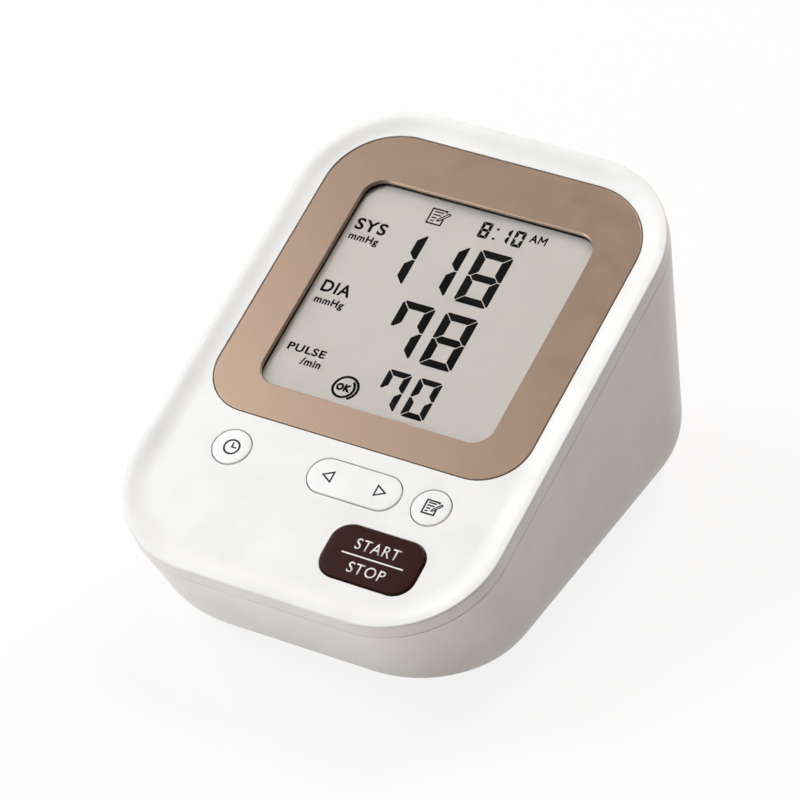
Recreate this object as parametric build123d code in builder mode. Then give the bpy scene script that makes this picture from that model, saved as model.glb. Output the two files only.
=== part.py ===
"""Desk-top upper-arm blood pressure monitor: wedge case, display, keys, battery bay, pump and air line.

Millimetres. Origin on the table under the middle of the case, +X to the user's right, +Y to the back, +Z up.
The sloping face has its own frame, the panel frame: u to the right, v up the slope, n out of the face, with
its origin at the centre of the display bezel.
"""
from build123d import *
import os
from math import atan2, cos, radians, sin, tan

os.makedirs("parts", exist_ok=True)

# ---------------------------------------------------------------- clearances
fit_gap = 0.15               # fixed pieces seated in one another
key_gap = 0.30               # a key in its hole
running_gap = 0.06           # a pin in its bore, on the radius
seat_gap = 0.30              # pieces of different bodies, at rest

# ---------------------------------------------------------------- case
overall_depth = 160.7        # front of the rim to the back of the case
rim_width = 116.0            # sloping face over its rim
rim_length = 162.9
rim_corner = 32.0
rim_front_height = 35.4      # panel surface over the table, at the front of the rim
panel_tilt = 19.8            # slope of the face, degrees
base_width = 117.8           # footprint, measured to the sharp corner under the bottom round
base_setback = 17.75         # the footprint starts this far behind the front of the rim
base_overhang = 1.65         # the footprint's sharp corner stands this far behind the bottom round
base_corner = 36.7
bottom_round = 18.0          # big soft edge all round the underside
case_wall = 2.5
panel_wall = 2.2
crest_rise = 1.4             # the rim stands this far over the panel it surrounds
crest_width = 1.8
crest_round = 1.1
dish_slope = 5.6             # width of the soft slope from the panel up to the rim
slope_steepness = 1.45       # steepest part of the slope, against a straight one
hole_lip = 0.2               # soft lip of each hole in the panel
parting_depth = 3.9          # parting line below the panel surface
parting_chamfer = 0.2        # on both sides of the parting line, which shows as a fine groove
lip_height = 1.6             # tongue of the lower case, inside the skirt of the upper one
lip_thickness = 1.1
foot_height = 1.0            # rubber feet below the case

# ---------------------------------------------------------------- display
bezel_width = 99.8
bezel_top_corner = 21.0
bezel_bottom_corner = 14.5
bezel_thickness = 1.2
bezel_to_front = 52.9        # lower edge of the bezel to the front of the rim, along the slope
bezel_to_back = 9.0          # upper edge of the bezel to the back of the rim
bezel_gap = 0.3              # dark line round the bezel
window_width = 73.8
window_top_frame = 16.5      # bezel above the window
window_bottom_frame = 10.9   # bezel below the window
window_corner = 5.0
window_bevel = 0.4
bezel_edge = 0.2             # soft outer edge of the bezel
lens_margin = 2.8            # the lens reaches this far behind the bezel
lens_thickness = 1.2
gasket_margin = 1.6
gasket_thickness = 1.0
lcd_thickness = 2.0
contact_ledge = 3.0          # lower glass left bare at both ends for the contact strips
strip_thickness = 1.8
holder_wall = 1.5
shelf_width = 5.0
board_depth = 9.0            # top of the circuit board below the panel surface
board_thickness = 1.6
board_width = 79.0
board_front_room = 8.4       # front of the rim to the front of the board, along the slope
board_rear_room = 4.5        # upper edge of the bezel to the rear of the board
board_corner = 12.0
board_screw_reach = 5.0
front_screw_u = (-28.0, 4.0)
front_screw_inset = 5.0
rear_screw_u = (-34.0, 34.0)
rear_screw_inset = 3.2
chips = [                    # place on the board, then width, length and height
    (0.0, -22.0, 12.0, 12.0, 1.6),
    (-20.0, -30.0, 6.0, 5.0, 1.5),
    (18.0, -32.0, 8.0, 5.0, 1.7),
    (24.0, -14.0, 9.0, 3.4, 3.0),
    (-14.0, -12.0, 5.0, 5.0, 1.4),
    (22.0, 8.0, 10.0, 7.0, 5.5),
]
buzzer_place = (26.0, -46.0)
buzzer_radius = 6.0
buzzer_height = 5.0
buzzer_hole = 1.0
buzzer_hole_depth = 1.6
sensor_place = (-28.0, 5.0)  # pressure sensor on the underside of the board
sensor_size = 10.0
sensor_height = 5.0

# ---------------------------------------------------------------- keys
key_radius = 5.65
key_row_drop = 11.75         # middle of the key row below the bezel
round_key_u = 31.67          # clock and memo keys, left and right of the middle
rocker_u = 7.6
rocker_length = 28.6
start_u = 23.8
start_drop = 31.95           # middle of the start key below the bezel
start_width = 28.7
start_length = 17.0
start_corner = 5.8
start_rise = 0.5
key_rise = 0.15
key_wall = 1.1
key_edge = 0.35              # soft edge of a key's top
start_edge = 0.55
key_collar = 1.0             # guide collar under the panel, round each key
key_collar_wall = 1.0
stem_end = 6.0               # a key's stem ends this deep below the panel surface
flange_reach = 0.9           # flange that keeps a key in the case
flange_thickness = 0.7
start_travel = 0.9           # longest key travel; the small keys move 0.8
stem_radius = 1.6
dome_radius = 3.4
mat_thickness = 1.0
pivot_radius = 0.9
pivot_depth = 4.6            # rocker's pivot below the panel surface
pivot_ear = 1.5              # thickness of the ears that hold the pivot
skirt_edge = 0.45            # rocker's skirt below its pivot
pivot_wall = 1.2
rocker_stem_u = 8.0
cap_top = 1.3                # thickness of a key's top
mat_corner = 3.0
mat_margin = 0.8             # the mat reaches this far past the keys
dome_taper = 12.0            # degrees

# ---------------------------------------------------------------- battery bay and cover
cell_radius = 7.15
cell_length = 49.2
nub_radius = 2.7
nub_length = 1.3
cell_count = 4
cell_pitch = 14.7
bay_spring_length = 5.2
bay_wall = 1.8
bay_offset = -17.7           # middle of the bay from the middle of the footprint
bay_play = 0.4
divider_width = 2.0          # rib between two cells, on the roof of the bay
divider_length = 36.0
contact_thickness = 0.4
contact_size = 10.0
spring_radius = 3.4
spring_wire = 0.35
spring_turns = 3.5
cover_thickness = 2.0
cover_ledge = 2.0            # the cover overlaps the mouth of the bay by this much
cover_corner = 4.0
cover_gap = 0.3
tab_width = 8.0
tab_x = 18.0
tab_thickness = 1.2
tab_reach = 2.2
latch_width = 14.0
latch_height = 3.0
latch_thickness = 1.2
grip_depth = 0.6
grip_width = 1.2
grip_length = 18.0
foot_radius = 5.0
foot_seat = 0.6
foot_offsets = [(30.0, -55.7), (33.0, 45.3)]      # x, and y from the middle of the footprint

# ---------------------------------------------------------------- screws and posts
post_radius = 3.2
post_length = 20.0
post_offsets = [(44.0, -47.7), (44.0, 42.3)]      # x, and y from the middle of the footprint
boss_radius = 4.4
well_radius = 3.4
screw_radius = 1.5
screw_head_radius = 2.9
screw_head_height = 2.0
screw_reach = 12.0
web_thickness = 3.0          # material under a screw head
rib_thickness = 1.6
rib_drop = 4.0               # ribs end this far below their boss
board_screw_radius = 1.0
board_screw_head = 2.1
board_screw_head_height = 1.3
board_boss_radius = 2.5

# ---------------------------------------------------------------- pump, valve and air line
pump_x = -4.0                # motor face that meets the pump frame
pump_offset = 32.3           # pump's axis behind the middle of the footprint
pump_z = 20.0
motor_radius = 12.0
motor_length = 30.0
motor_cap = 3.0              # bearing cap on the rear end
motor_cap_radius = 4.0
motor_rear_round = 1.5
motor_front_round = 1.0
terminal_offset = 7.5        # two terminals on the rear end of the motor
terminal_width = 2.0
terminal_thickness = 0.5
terminal_length = 2.5
shaft_depth = 12.0           # part of the shaft inside the motor
shaft_radius = 1.0
frame_radius = 13.5
frame_wall = 1.6
frame_length = 17.0
crank_radius = 5.0
crank_length = 5.0
swash_tilt = 6.0             # the drive plate leans this much and nutates as the shaft turns
swash_radius = 10.0
swash_thickness = 2.4
swash_place = 10.2           # centre of the drive plate from the motor face
hub_radius = 3.4
crank_place = 2.2
crank_pin = 1.2
crank_pin_end = 13.2         # depth of the pin's tip from the motor face
arm_width = 4.0              # arms of the drive plate
cup_radius = 3.9
cup_length = 3.2
cup_taper = 10.0             # degrees
cup_orbit = 7.4
diaphragm_thickness = 2.4
pump_head_length = 10.0
pump_head_round = 1.2
cushion_thickness = 2.0
cushion_length = 14.0
cradle_width = 34.0
cradle_drop = 4.0            # the cradle ends this far below the pump's axis
tube_bore = 1.1
tube_wall = 0.9
tube_bend = 5.0
nipple_length = 5.0
nipple_bore = 0.5
tee_size = 7.0
tee_corner = 1.0
tee_x = -31.0
tee_offset = 17.3            # tee behind the middle of the footprint, at the height of the air socket
tube_side = 16.0             # the pump's tube swings this far out beside the head
tube_over = 10.0             # the valve's tube rises this far over its nipple
tube_drop = 8.0              # straight run of the sensor's tube below its nipple
jack_offset = -7.7           # air socket from the middle of the footprint
jack_z = 33.0
jack_radius = 6.2
jack_bore = 2.5
jack_depth = 11.0
jack_length = 13.0
jack_flange = 1.5
jack_recess = 0.6
dc_x = 14.0
dc_z = 27.0
dc_bore = 2.85
dc_pin = 0.85
dc_depth = 9.5
dc_nose = 4.4
dc_body = 11.0
dc_length = 13.0
dc_recess = 0.6
valve_x = -12.0
valve_offset = -3.7
valve_width = 13.0
valve_height = 17.0
valve_wall = 2.0
plunger_radius = 2.2
plunger_length = 8.5
plunger_travel = 0.8
valve_spring_turns = 4.0
valve_spring_wire = 0.25
valve_corner = 1.5
plunger_chamfer = 0.6

# ---------------------------------------------------------------- frames worked out from the sizes
tilt = radians(panel_tilt)
bezel_length = rim_length - bezel_to_front - bezel_to_back
bezel_to_rim = bezel_to_front + bezel_length / 2
window_length = bezel_length - window_top_frame - window_bottom_frame
window_v = (window_bottom_frame - window_top_frame) / 2
key_row_v = -bezel_length / 2 - key_row_drop
start_v = -bezel_length / 2 - start_drop
rim_lean = (crest_rise - crest_round) * sin(tilt) + crest_round * (1 - cos(tilt))
panel_y = -overall_depth / 2 + rim_lean + bezel_to_rim * cos(tilt)
panel_z = rim_front_height + bezel_to_rim * sin(tilt)
rim_v = rim_length / 2 - bezel_to_rim
slope_lean = slope_steepness * atan2(crest_rise, dish_slope)
slope_run = crest_rise / tan(slope_lean)
slope_side = (dish_slope - slope_run) / 2
slope_round = slope_side / tan(slope_lean / 2)
slope_top = crest_width + slope_side
base_front = -overall_depth / 2 + base_setback
base_back = overall_depth / 2 + base_overhang
base_depth = base_back - base_front
base_y = (base_front + base_back) / 2
bay_y = base_y + bay_offset
pump_y = base_y + pump_offset
tee_y = base_y + tee_offset
jack_y = base_y + jack_offset
valve_y = base_y + valve_offset
floor_z = foot_height + case_wall

panel = Plane(origin=(0, panel_y, panel_z), x_dir=(1, 0, 0), z_dir=(0, -sin(tilt), cos(tilt)))
lens_top = -bezel_thickness
gasket_top = lens_top - lens_thickness
lcd_top = gasket_top - gasket_thickness
lcd_bottom = lcd_top - lcd_thickness
board_bottom = -board_depth - board_thickness


def on_panel(u=0.0, v=0.0, n=0.0):
    """Plane parallel to the sloping face, with its origin at (u, v, n) of the panel frame."""
    return Plane(origin=panel.from_local_coords((u, v, n)), x_dir=panel.x_dir, z_dir=panel.z_dir)


def panel_height(y, n=0.0):
    """Height over the table of level n of the panel, at depth y."""
    return panel_z + (y - panel_y) * tan(tilt) + n / cos(tilt)


def window_face(margin=0.0):
    """Outline of the display window, grown by margin."""
    with BuildSketch() as face:
        RectangleRounded(window_width + 2 * margin, window_length + 2 * margin, window_corner + margin)
    return face.sketch


def bezel_face(margin=0.0):
    """Outline of the bezel, with larger corners at the top, grown by margin."""
    with BuildSketch() as face:
        Rectangle(bezel_width, bezel_length)
        fillet(face.vertices().group_by(Axis.Y)[-1], bezel_top_corner)
        fillet(face.vertices().group_by(Axis.Y)[0], bezel_bottom_corner)
        if margin:
            offset(amount=margin)
    return face.sketch


def rocker_face(margin=0.0):
    """Outline of the two-way memory key."""
    with BuildSketch() as face:
        SlotOverall(rocker_length + 2 * margin, 2 * (key_radius + margin))
    return face.sketch


def start_face(margin=0.0):
    """Outline of the start and stop key."""
    with BuildSketch() as face:
        RectangleRounded(start_width + 2 * margin, start_length + 2 * margin, start_corner + margin)
    return face.sketch


def round_face(margin=0.0):
    """Outline of the clock and memo keys."""
    with BuildSketch() as face:
        Circle(key_radius + margin)
    return face.sketch


key_places = [
    (round_face, -round_key_u, key_row_v),
    (rocker_face, rocker_u, key_row_v),
    (round_face, round_key_u, key_row_v),
    (start_face, start_u, start_v),
]


def wedge(inset, top_n):
    """Solid form of the case below panel level top_n, with every outer face moved in by inset."""
    with BuildPart() as form:
        with BuildSketch(Plane.XY.offset(foot_height + inset)):
            with Locations((0, base_y)):
                RectangleRounded(base_width - 2 * inset, base_depth - 2 * inset, base_corner - inset)
        with BuildSketch(on_panel(0, rim_v, top_n)):
            RectangleRounded(rim_width - 2 * inset, rim_length - 2 * inset, rim_corner - inset)
        loft(ruled=True)
        fillet(form.faces().sort_by(Axis.Z)[0].edges(), bottom_round - inset)
    return form.part


def save(piece, name):
    piece.part.label = name
    export_step(piece.part, f"parts/{name}.step")


# ---------------------------------------------------------------- upper case
post_places = [(side * x, base_y + offset) for x, offset in post_offsets for side in (-1, 1)]
board_front_v = board_front_room - bezel_to_rim
board_rear_v = bezel_length / 2 - board_rear_room
board_screw_places = [(u, board_rear_v - rear_screw_inset) for u in rear_screw_u]
board_screw_places += [(u, board_front_v + front_screw_inset) for u in front_screw_u]
lip_inset = case_wall - lip_thickness


def post_joint(y):
    """Height at which a post of the upper case meets its boss in the lower case."""
    return panel_height(y, -panel_wall) - post_length


def rim_outline(inset=0.0, mode=Mode.ADD):
    RectangleRounded(rim_width - 2 * inset, rim_length - 2 * inset, rim_corner - inset, mode=mode)


def level_face(form, level=0.0):
    """The largest face of an upper case that lies at this level of the panel frame."""
    here = on_panel(n=level)
    found = form.faces().filter_by(lambda face: abs(here.to_local_coords(face.center()).Z) < running_gap)
    return found.sort_by(SortBy.AREA)[-1]


with BuildPart() as upper_case:
    # posts first, cut off inside the thickness of the panel
    for x, y in post_places:
        with BuildSketch(Plane.XY.offset(post_joint(y))):
            with Locations((x, y)):
                Circle(post_radius)
        extrude(amount=post_length + 2 * panel_wall)
    split(bisect_by=on_panel(n=-panel_wall + running_gap), keep=Keep.BOTTOM)
    # skirt and plate, seen from outside as one dished tray
    with BuildSketch(on_panel(0, rim_v, -parting_depth)):
        rim_outline()
        rim_outline(case_wall, Mode.SUBTRACT)
    extrude(amount=parting_depth)
    with BuildSketch(on_panel(0, rim_v, -panel_wall)):
        rim_outline()
    extrude(amount=panel_wall + crest_rise)
    for level, inset in ((0.0, slope_top + slope_run), (crest_rise, slope_top)):
        with BuildSketch(on_panel(0, rim_v, level)):
            rim_outline(inset)
    loft(ruled=True, mode=Mode.SUBTRACT)
    up = Axis((0, 0, 0), tuple(panel.z_dir))
    crest = upper_case.faces().sort_by(up)[-1]
    fillet(crest.outer_wire().edges(), crest_round)
    fillet(upper_case.faces().sort_by(up)[-1].inner_wires()[0].edges(), slope_round)
    fillet(level_face(upper_case).outer_wire().edges(), slope_round)
    # bezel seat, window and key holes
    with BuildSketch(on_panel(n=-bezel_thickness)):
        add(bezel_face(bezel_gap))
    extrude(amount=bezel_thickness, mode=Mode.SUBTRACT)
    with BuildSketch(on_panel(v=window_v)):
        add(window_face(lens_margin + fit_gap))
    extrude(amount=-panel_wall, mode=Mode.SUBTRACT)
    for face, u, v in key_places:
        with BuildSketch(on_panel(u, v, -panel_wall)):
            add(face(key_gap + key_collar_wall))
        extrude(amount=-key_collar)
    for face, u, v in key_places:
        with BuildSketch(on_panel(u, v, 0)):
            add(face(key_gap))
        extrude(amount=-panel_wall - key_collar, mode=Mode.SUBTRACT)
    for hole in level_face(upper_case).inner_wires():
        chamfer(hole.edges(), hole_lip)
    # ears that carry the rocker's pivot
    ear_v = key_radius + key_gap + seat_gap + pivot_ear / 2
    with BuildSketch(on_panel(rocker_u, key_row_v, -panel_wall)):
        with Locations((0, ear_v), (0, -ear_v)):
            Rectangle(2 * (pivot_radius + pivot_wall), pivot_ear)
    extrude(amount=-(pivot_depth - panel_wall + pivot_radius + pivot_wall))
    # bosses for the circuit board
    with BuildSketch(on_panel(n=-panel_wall)):
        with Locations(*board_screw_places):
            Circle(board_boss_radius)
    extrude(amount=-(board_depth - panel_wall))
    with BuildSketch(on_panel(n=-board_depth)):
        with Locations(*board_screw_places):
            Circle(board_screw_radius + running_gap)
    extrude(amount=board_screw_reach + fit_gap, mode=Mode.SUBTRACT)
    # pivot bore, screw bores, rebate for the lip of the lower case
    with BuildSketch(Plane(on_panel(rocker_u, key_row_v, -pivot_depth).origin, panel.x_dir, panel.y_dir)):
        Circle(pivot_radius + running_gap)
    extrude(amount=ear_v + pivot_ear, both=True, mode=Mode.SUBTRACT)
    for x, y in post_places:
        with BuildSketch(Plane.XY.offset(post_joint(y))):
            with Locations((x, y)):
                Circle(screw_radius + running_gap)
        extrude(amount=screw_reach, mode=Mode.SUBTRACT)
    with BuildSketch(on_panel(0, rim_v, -parting_depth)):
        rim_outline(lip_inset - fit_gap)
        rim_outline(case_wall, Mode.SUBTRACT)
    extrude(amount=lip_height + fit_gap, mode=Mode.SUBTRACT)
    chamfer(level_face(upper_case, -parting_depth).outer_wire().edges(), parting_chamfer)

save(upper_case, "upper_case")

# ---------------------------------------------------------------- lower case
bay_half_x = (cell_length + nub_length + bay_spring_length) / 2 + contact_thickness
bay_half_y = cell_count * cell_pitch / 2 + bay_play
cover_top = foot_height + cover_thickness
cell_z = cover_top + bay_play + cell_radius
bay_roof = cell_z + cell_radius + bay_play
divider_reach = (cell_pitch - divider_width) / 2
divider_drop = bay_roof - cell_z - max(cell_radius ** 2 - divider_reach ** 2, 0) ** 0.5 - seat_gap
hinge_y = bay_y + bay_half_y + cover_ledge
tab_low = floor_z + cover_gap
tab_swing = ((tab_low + tab_thickness - foot_height) ** 2 + tab_reach ** 2) ** 0.5
feet_places = [(side * x, base_y + offset) for x, offset in foot_offsets for side in (-1, 1)]
cradle_x = pump_x + motor_length / 2
cradle_bore = motor_radius + cushion_thickness


def side_wall(height):
    """Half width of the case at this height, over its straight walls."""
    share = (height - foot_height) / (panel_height(jack_y, -parting_depth) - foot_height)
    return base_width / 2 + (rim_width - base_width) / 2 * share


def back_wall(height):
    """Depth of the outside of the back wall at this height."""
    rim_back = panel.from_local_coords((0, rim_v + rim_length / 2, -parting_depth))
    return base_back + (rim_back.Y - base_back) * (height - foot_height) / (rim_back.Z - foot_height)


def bay_rectangle(margin, corner=0.0, mode=Mode.ADD):
    if corner:
        RectangleRounded(2 * (bay_half_x + margin), 2 * (bay_half_y + margin), corner, mode=mode)
    else:
        Rectangle(2 * (bay_half_x + margin), 2 * (bay_half_y + margin), mode=mode)


case_form = wedge(0, -parting_depth)
case_room = wedge(case_wall, -parting_depth)

with BuildPart() as room:
    # the hollow of the lower case, less what stands in it: bay, screw bosses, their ribs and the pump cradle
    add(case_room)
    with BuildSketch(Plane.XY):
        with Locations((0, bay_y)):
            bay_rectangle(bay_wall)
    extrude(amount=bay_roof + bay_wall, mode=Mode.SUBTRACT)
    for x, y in post_places:
        with BuildSketch(Plane.XY):
            with Locations((x, y)):
                Circle(boss_radius)
        extrude(amount=post_joint(y), mode=Mode.SUBTRACT)
        outward = Align.MIN if x > 0 else Align.MAX
        with BuildSketch(Plane.XY):
            with Locations((x, y)):
                Rectangle(base_width / 2, rib_thickness, align=(outward, Align.CENTER))
        extrude(amount=post_joint(y) - rib_drop, mode=Mode.SUBTRACT)
    with BuildSketch(Plane.YZ.offset(cradle_x - cushion_length / 2)):
        with Locations((pump_y, 0)):
            Rectangle(cradle_width, pump_z - cradle_drop, align=(Align.CENTER, Align.MIN))
        with Locations((pump_y, pump_z)):
            Circle(cradle_bore, mode=Mode.SUBTRACT)
    extrude(amount=cushion_length, mode=Mode.SUBTRACT)

with BuildPart() as lower_case:
    add(case_form)
    # lower half of the groove at the parting line
    with BuildSketch(on_panel(0, rim_v, -parting_depth)):
        rim_outline(-case_wall)
        rim_outline(parting_chamfer, Mode.SUBTRACT)
    extrude(amount=-parting_chamfer, mode=Mode.SUBTRACT)
    add(room.part, mode=Mode.SUBTRACT)
    # lip that enters the upper case
    with BuildSketch(on_panel(0, rim_v, -parting_depth)):
        rim_outline(lip_inset)
        rim_outline(case_wall, Mode.SUBTRACT)
    extrude(amount=lip_height)
    # seats of the two sockets
    with BuildSketch(Plane.YZ.offset(-side_wall(jack_z))):
        with Locations((jack_y, jack_z)):
            Circle(jack_radius + fit_gap)
    extrude(amount=jack_length, both=True, mode=Mode.SUBTRACT)
    with BuildSketch(Plane.XZ.offset(-back_wall(dc_z))):
        with Locations((dc_x, dc_z)):
            Circle(dc_nose + fit_gap)
    extrude(amount=dc_length, both=True, mode=Mode.SUBTRACT)
    # room for the cells, seat of the cover and slots for its tabs
    with BuildSketch(Plane.XY.offset(foot_height)):
        with Locations((0, bay_y)):
            bay_rectangle(0)
    extrude(amount=bay_roof - foot_height, mode=Mode.SUBTRACT)
    with BuildSketch(Plane.XY.offset(bay_roof)):
        with Locations((0, bay_y)):
            with GridLocations(0, cell_pitch, 1, cell_count - 1):
                Rectangle(divider_length, divider_width)
    extrude(amount=-divider_drop)
    with BuildSketch(Plane.XY.offset(foot_height)):
        with Locations((0, bay_y)):
            bay_rectangle(cover_ledge, cover_corner)
    extrude(amount=cover_thickness + fit_gap, mode=Mode.SUBTRACT)
    with BuildSketch(Plane.XY.offset(cover_top)):
        with Locations((-tab_x, hinge_y), (tab_x, hinge_y)):
            Rectangle(tab_width + 2 * cover_gap, 2 * cover_ledge, align=(Align.CENTER, Align.MAX))
    extrude(amount=foot_height + tab_swing + cover_gap - cover_top, mode=Mode.SUBTRACT)
    with BuildSketch(Plane.XY.offset(floor_z)):
        with Locations((-tab_x, hinge_y), (tab_x, hinge_y)):
            Rectangle(tab_width + 2 * cover_gap, tab_reach + cover_gap, align=(Align.CENTER, Align.MIN))
    extrude(amount=foot_height + tab_swing + cover_gap - floor_z, mode=Mode.SUBTRACT)
    # screw wells and seats of the feet
    for x, y in post_places:
        with BuildSketch(Plane.XY):
            with Locations((x, y)):
                Circle(well_radius)
        extrude(amount=post_joint(y) - web_thickness, mode=Mode.SUBTRACT)
        with BuildSketch(Plane.XY):
            with Locations((x, y)):
                Circle(screw_radius + running_gap)
        extrude(amount=post_joint(y), mode=Mode.SUBTRACT)
    with BuildSketch(Plane.XY):
        with Locations(*feet_places):
            Circle(foot_radius + fit_gap)
    extrude(amount=foot_height + foot_seat, mode=Mode.SUBTRACT)

save(lower_case, "lower_case")

# ---------------------------------------------------------------- display
with BuildPart() as display_bezel:
    with BuildSketch(on_panel(n=-bezel_thickness)):
        add(bezel_face())
        with Locations((0, window_v)):
            add(window_face(), mode=Mode.SUBTRACT)
    extrude(amount=bezel_thickness)
    rim = display_bezel.faces().sort_by(up)[-1]
    chamfer(rim.inner_wires()[0].edges(), window_bevel)
    fillet(display_bezel.faces().sort_by(up)[-1].outer_wire().edges(), bezel_edge)
save(display_bezel, "display_bezel")

with BuildPart() as display_lens:
    with BuildSketch(on_panel(0, window_v, lens_top)):
        add(window_face(lens_margin))
    extrude(amount=-lens_thickness)
save(display_lens, "display_lens")

with BuildPart() as lens_gasket:
    with BuildSketch(on_panel(0, window_v, gasket_top)):
        add(window_face(gasket_margin))
        add(window_face(), mode=Mode.SUBTRACT)
    extrude(amount=-gasket_thickness)
save(lens_gasket, "lens_gasket")

lcd_width = window_width + 2 * gasket_margin
lcd_length = window_length + 2 * gasket_margin

with BuildPart() as lcd_panel:
    with BuildSketch(on_panel(0, window_v, lcd_top)):
        Rectangle(lcd_width, lcd_length)
    extrude(amount=-lcd_thickness)
    with BuildSketch(on_panel(0, window_v, lcd_bottom)):
        with Locations((0, lcd_length / 2), (0, -lcd_length / 2)):
            Rectangle(lcd_width, 2 * contact_ledge)
    extrude(amount=lcd_thickness / 2, mode=Mode.SUBTRACT)
save(lcd_panel, "lcd_panel")

holder_width = lcd_width + 2 * (fit_gap + holder_wall)
holder_length = lcd_length + 2 * (fit_gap + holder_wall)

with BuildPart() as lcd_holder:
    with BuildSketch(on_panel(0, window_v, -board_depth)):
        Rectangle(holder_width, holder_length)
        Rectangle(lcd_width + 2 * fit_gap, lcd_length + 2 * fit_gap, mode=Mode.SUBTRACT)
    extrude(amount=board_depth - panel_wall - seat_gap)
    with BuildSketch(on_panel(0, window_v, -board_depth)):
        for side, align in ((-1, Align.MIN), (1, Align.MAX)):
            with Locations((side * holder_width / 2, 0)):
                Rectangle(holder_wall + shelf_width, lcd_length - 2 * contact_ledge,
                          align=(align, Align.CENTER))
    extrude(amount=board_depth + lcd_bottom)
save(lcd_holder, "lcd_holder")

with BuildPart() as contact_strips:
    for side in (-1, 1):
        strip_v = window_v + side * (lcd_length - contact_ledge) / 2
        with BuildSketch(on_panel(0, strip_v, -board_depth)):
            Rectangle(window_width, strip_thickness)
        extrude(amount=board_depth + lcd_bottom + lcd_thickness / 2)
save(contact_strips, "contact_strips")

# ---------------------------------------------------------------- circuit board and what is on it
with BuildPart() as main_board:
    with BuildSketch(on_panel(0, (board_rear_v + board_front_v) / 2, board_bottom)):
        RectangleRounded(board_width, board_rear_v - board_front_v, board_corner)
    extrude(amount=board_thickness)
    with BuildSketch(on_panel(n=board_bottom)):
        with Locations(*board_screw_places):
            Circle(board_screw_radius + 2 * running_gap)
    extrude(amount=board_thickness, mode=Mode.SUBTRACT)
save(main_board, "main_board")

with BuildPart() as board_screws:
    for u, v in board_screw_places:
        with BuildSketch(on_panel(u, v, board_bottom)):
            Circle(board_screw_head)
        extrude(amount=-board_screw_head_height)
        with BuildSketch(on_panel(u, v, board_bottom)):
            Circle(board_screw_radius)
        extrude(amount=board_thickness + board_screw_reach)
save(board_screws, "board_screws")

with BuildPart() as board_chips:
    for u, v, width, length, height in chips:
        with BuildSketch(on_panel(u, v, board_bottom)):
            Rectangle(width, length)
        extrude(amount=-height)
save(board_chips, "board_chips")

with BuildPart() as buzzer:
    with BuildSketch(on_panel(*buzzer_place, board_bottom)):
        Circle(buzzer_radius)
    extrude(amount=-buzzer_height)
    with BuildSketch(on_panel(*buzzer_place, board_bottom - buzzer_height)):
        Circle(buzzer_hole)
    extrude(amount=buzzer_hole_depth, mode=Mode.SUBTRACT)
save(buzzer, "buzzer")

sensor_plane = on_panel(*sensor_place, board_bottom)
with BuildPart() as pressure_sensor:
    with BuildSketch(sensor_plane):
        Rectangle(sensor_size, sensor_size)
    extrude(amount=-sensor_height)
    with BuildSketch(sensor_plane.offset(-sensor_height)):
        Circle(tube_bore - running_gap)
    extrude(amount=-nipple_length)
    with BuildSketch(sensor_plane.offset(-sensor_height - nipple_length)):
        Circle(nipple_bore)
    extrude(amount=nipple_length, mode=Mode.SUBTRACT)
save(pressure_sensor, "pressure_sensor")

# ---------------------------------------------------------------- keys
flange_top = -(panel_wall + key_collar + seat_gap)
flange_bottom = flange_top - flange_thickness


def key_body(face, u, v, rise, edge):
    """Hollow key cap with a flange under the panel and a stem in the middle."""
    with BuildPart() as key:
        with BuildSketch(on_panel(u, v, flange_bottom)):
            add(face())
        extrude(amount=rise - flange_bottom)
        fillet(key.faces().sort_by(up)[-1].edges(), edge)
        with BuildSketch(on_panel(u, v, flange_bottom)):
            add(face(flange_reach))
        extrude(amount=flange_thickness)
        with BuildSketch(on_panel(u, v, flange_bottom)):
            add(face(-key_wall))
        extrude(amount=rise - cap_top - flange_bottom, mode=Mode.SUBTRACT)
        with BuildSketch(on_panel(u, v, -stem_end)):
            Circle(stem_radius)
        extrude(amount=stem_end + rise - cap_top + running_gap)
    return key


clock_button = key_body(round_face, -round_key_u, key_row_v, key_rise, key_edge)
save(clock_button, "clock_button")
memo_button = key_body(round_face, round_key_u, key_row_v, key_rise, key_edge)
save(memo_button, "memo_button")
start_button = key_body(start_face, start_u, start_v, start_rise, start_edge)
save(start_button, "start_stop_button")

skirt_end = pivot_depth + pivot_radius + running_gap + skirt_edge
with BuildPart() as memory_rocker:
    with BuildSketch(on_panel(rocker_u, key_row_v, -skirt_end)):
        add(rocker_face())
    extrude(amount=skirt_end + key_rise)
    fillet(memory_rocker.faces().sort_by(up)[-1].edges(), key_edge)
    with BuildSketch(on_panel(rocker_u, key_row_v, -skirt_end)):
        add(rocker_face(-key_wall))
    extrude(amount=skirt_end + key_rise - cap_top, mode=Mode.SUBTRACT)
    with BuildSketch(on_panel(rocker_u, key_row_v, -skirt_end)):
        with Locations((rocker_stem_u, 0), (-rocker_stem_u, 0)):
            Circle(stem_radius)
    extrude(amount=skirt_end + key_rise - cap_top + running_gap)
    pivot_half = ear_v + pivot_ear / 2
    for side in (-1, 1):
        pivot_start = on_panel(rocker_u, key_row_v + side * (key_radius - key_wall), -pivot_depth).origin
        with BuildSketch(Plane(pivot_start, panel.x_dir, panel.y_dir * side)):
            Circle(pivot_radius)
        extrude(amount=pivot_half - key_radius + key_wall)
save(memory_rocker, "memory_rocker")

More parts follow.
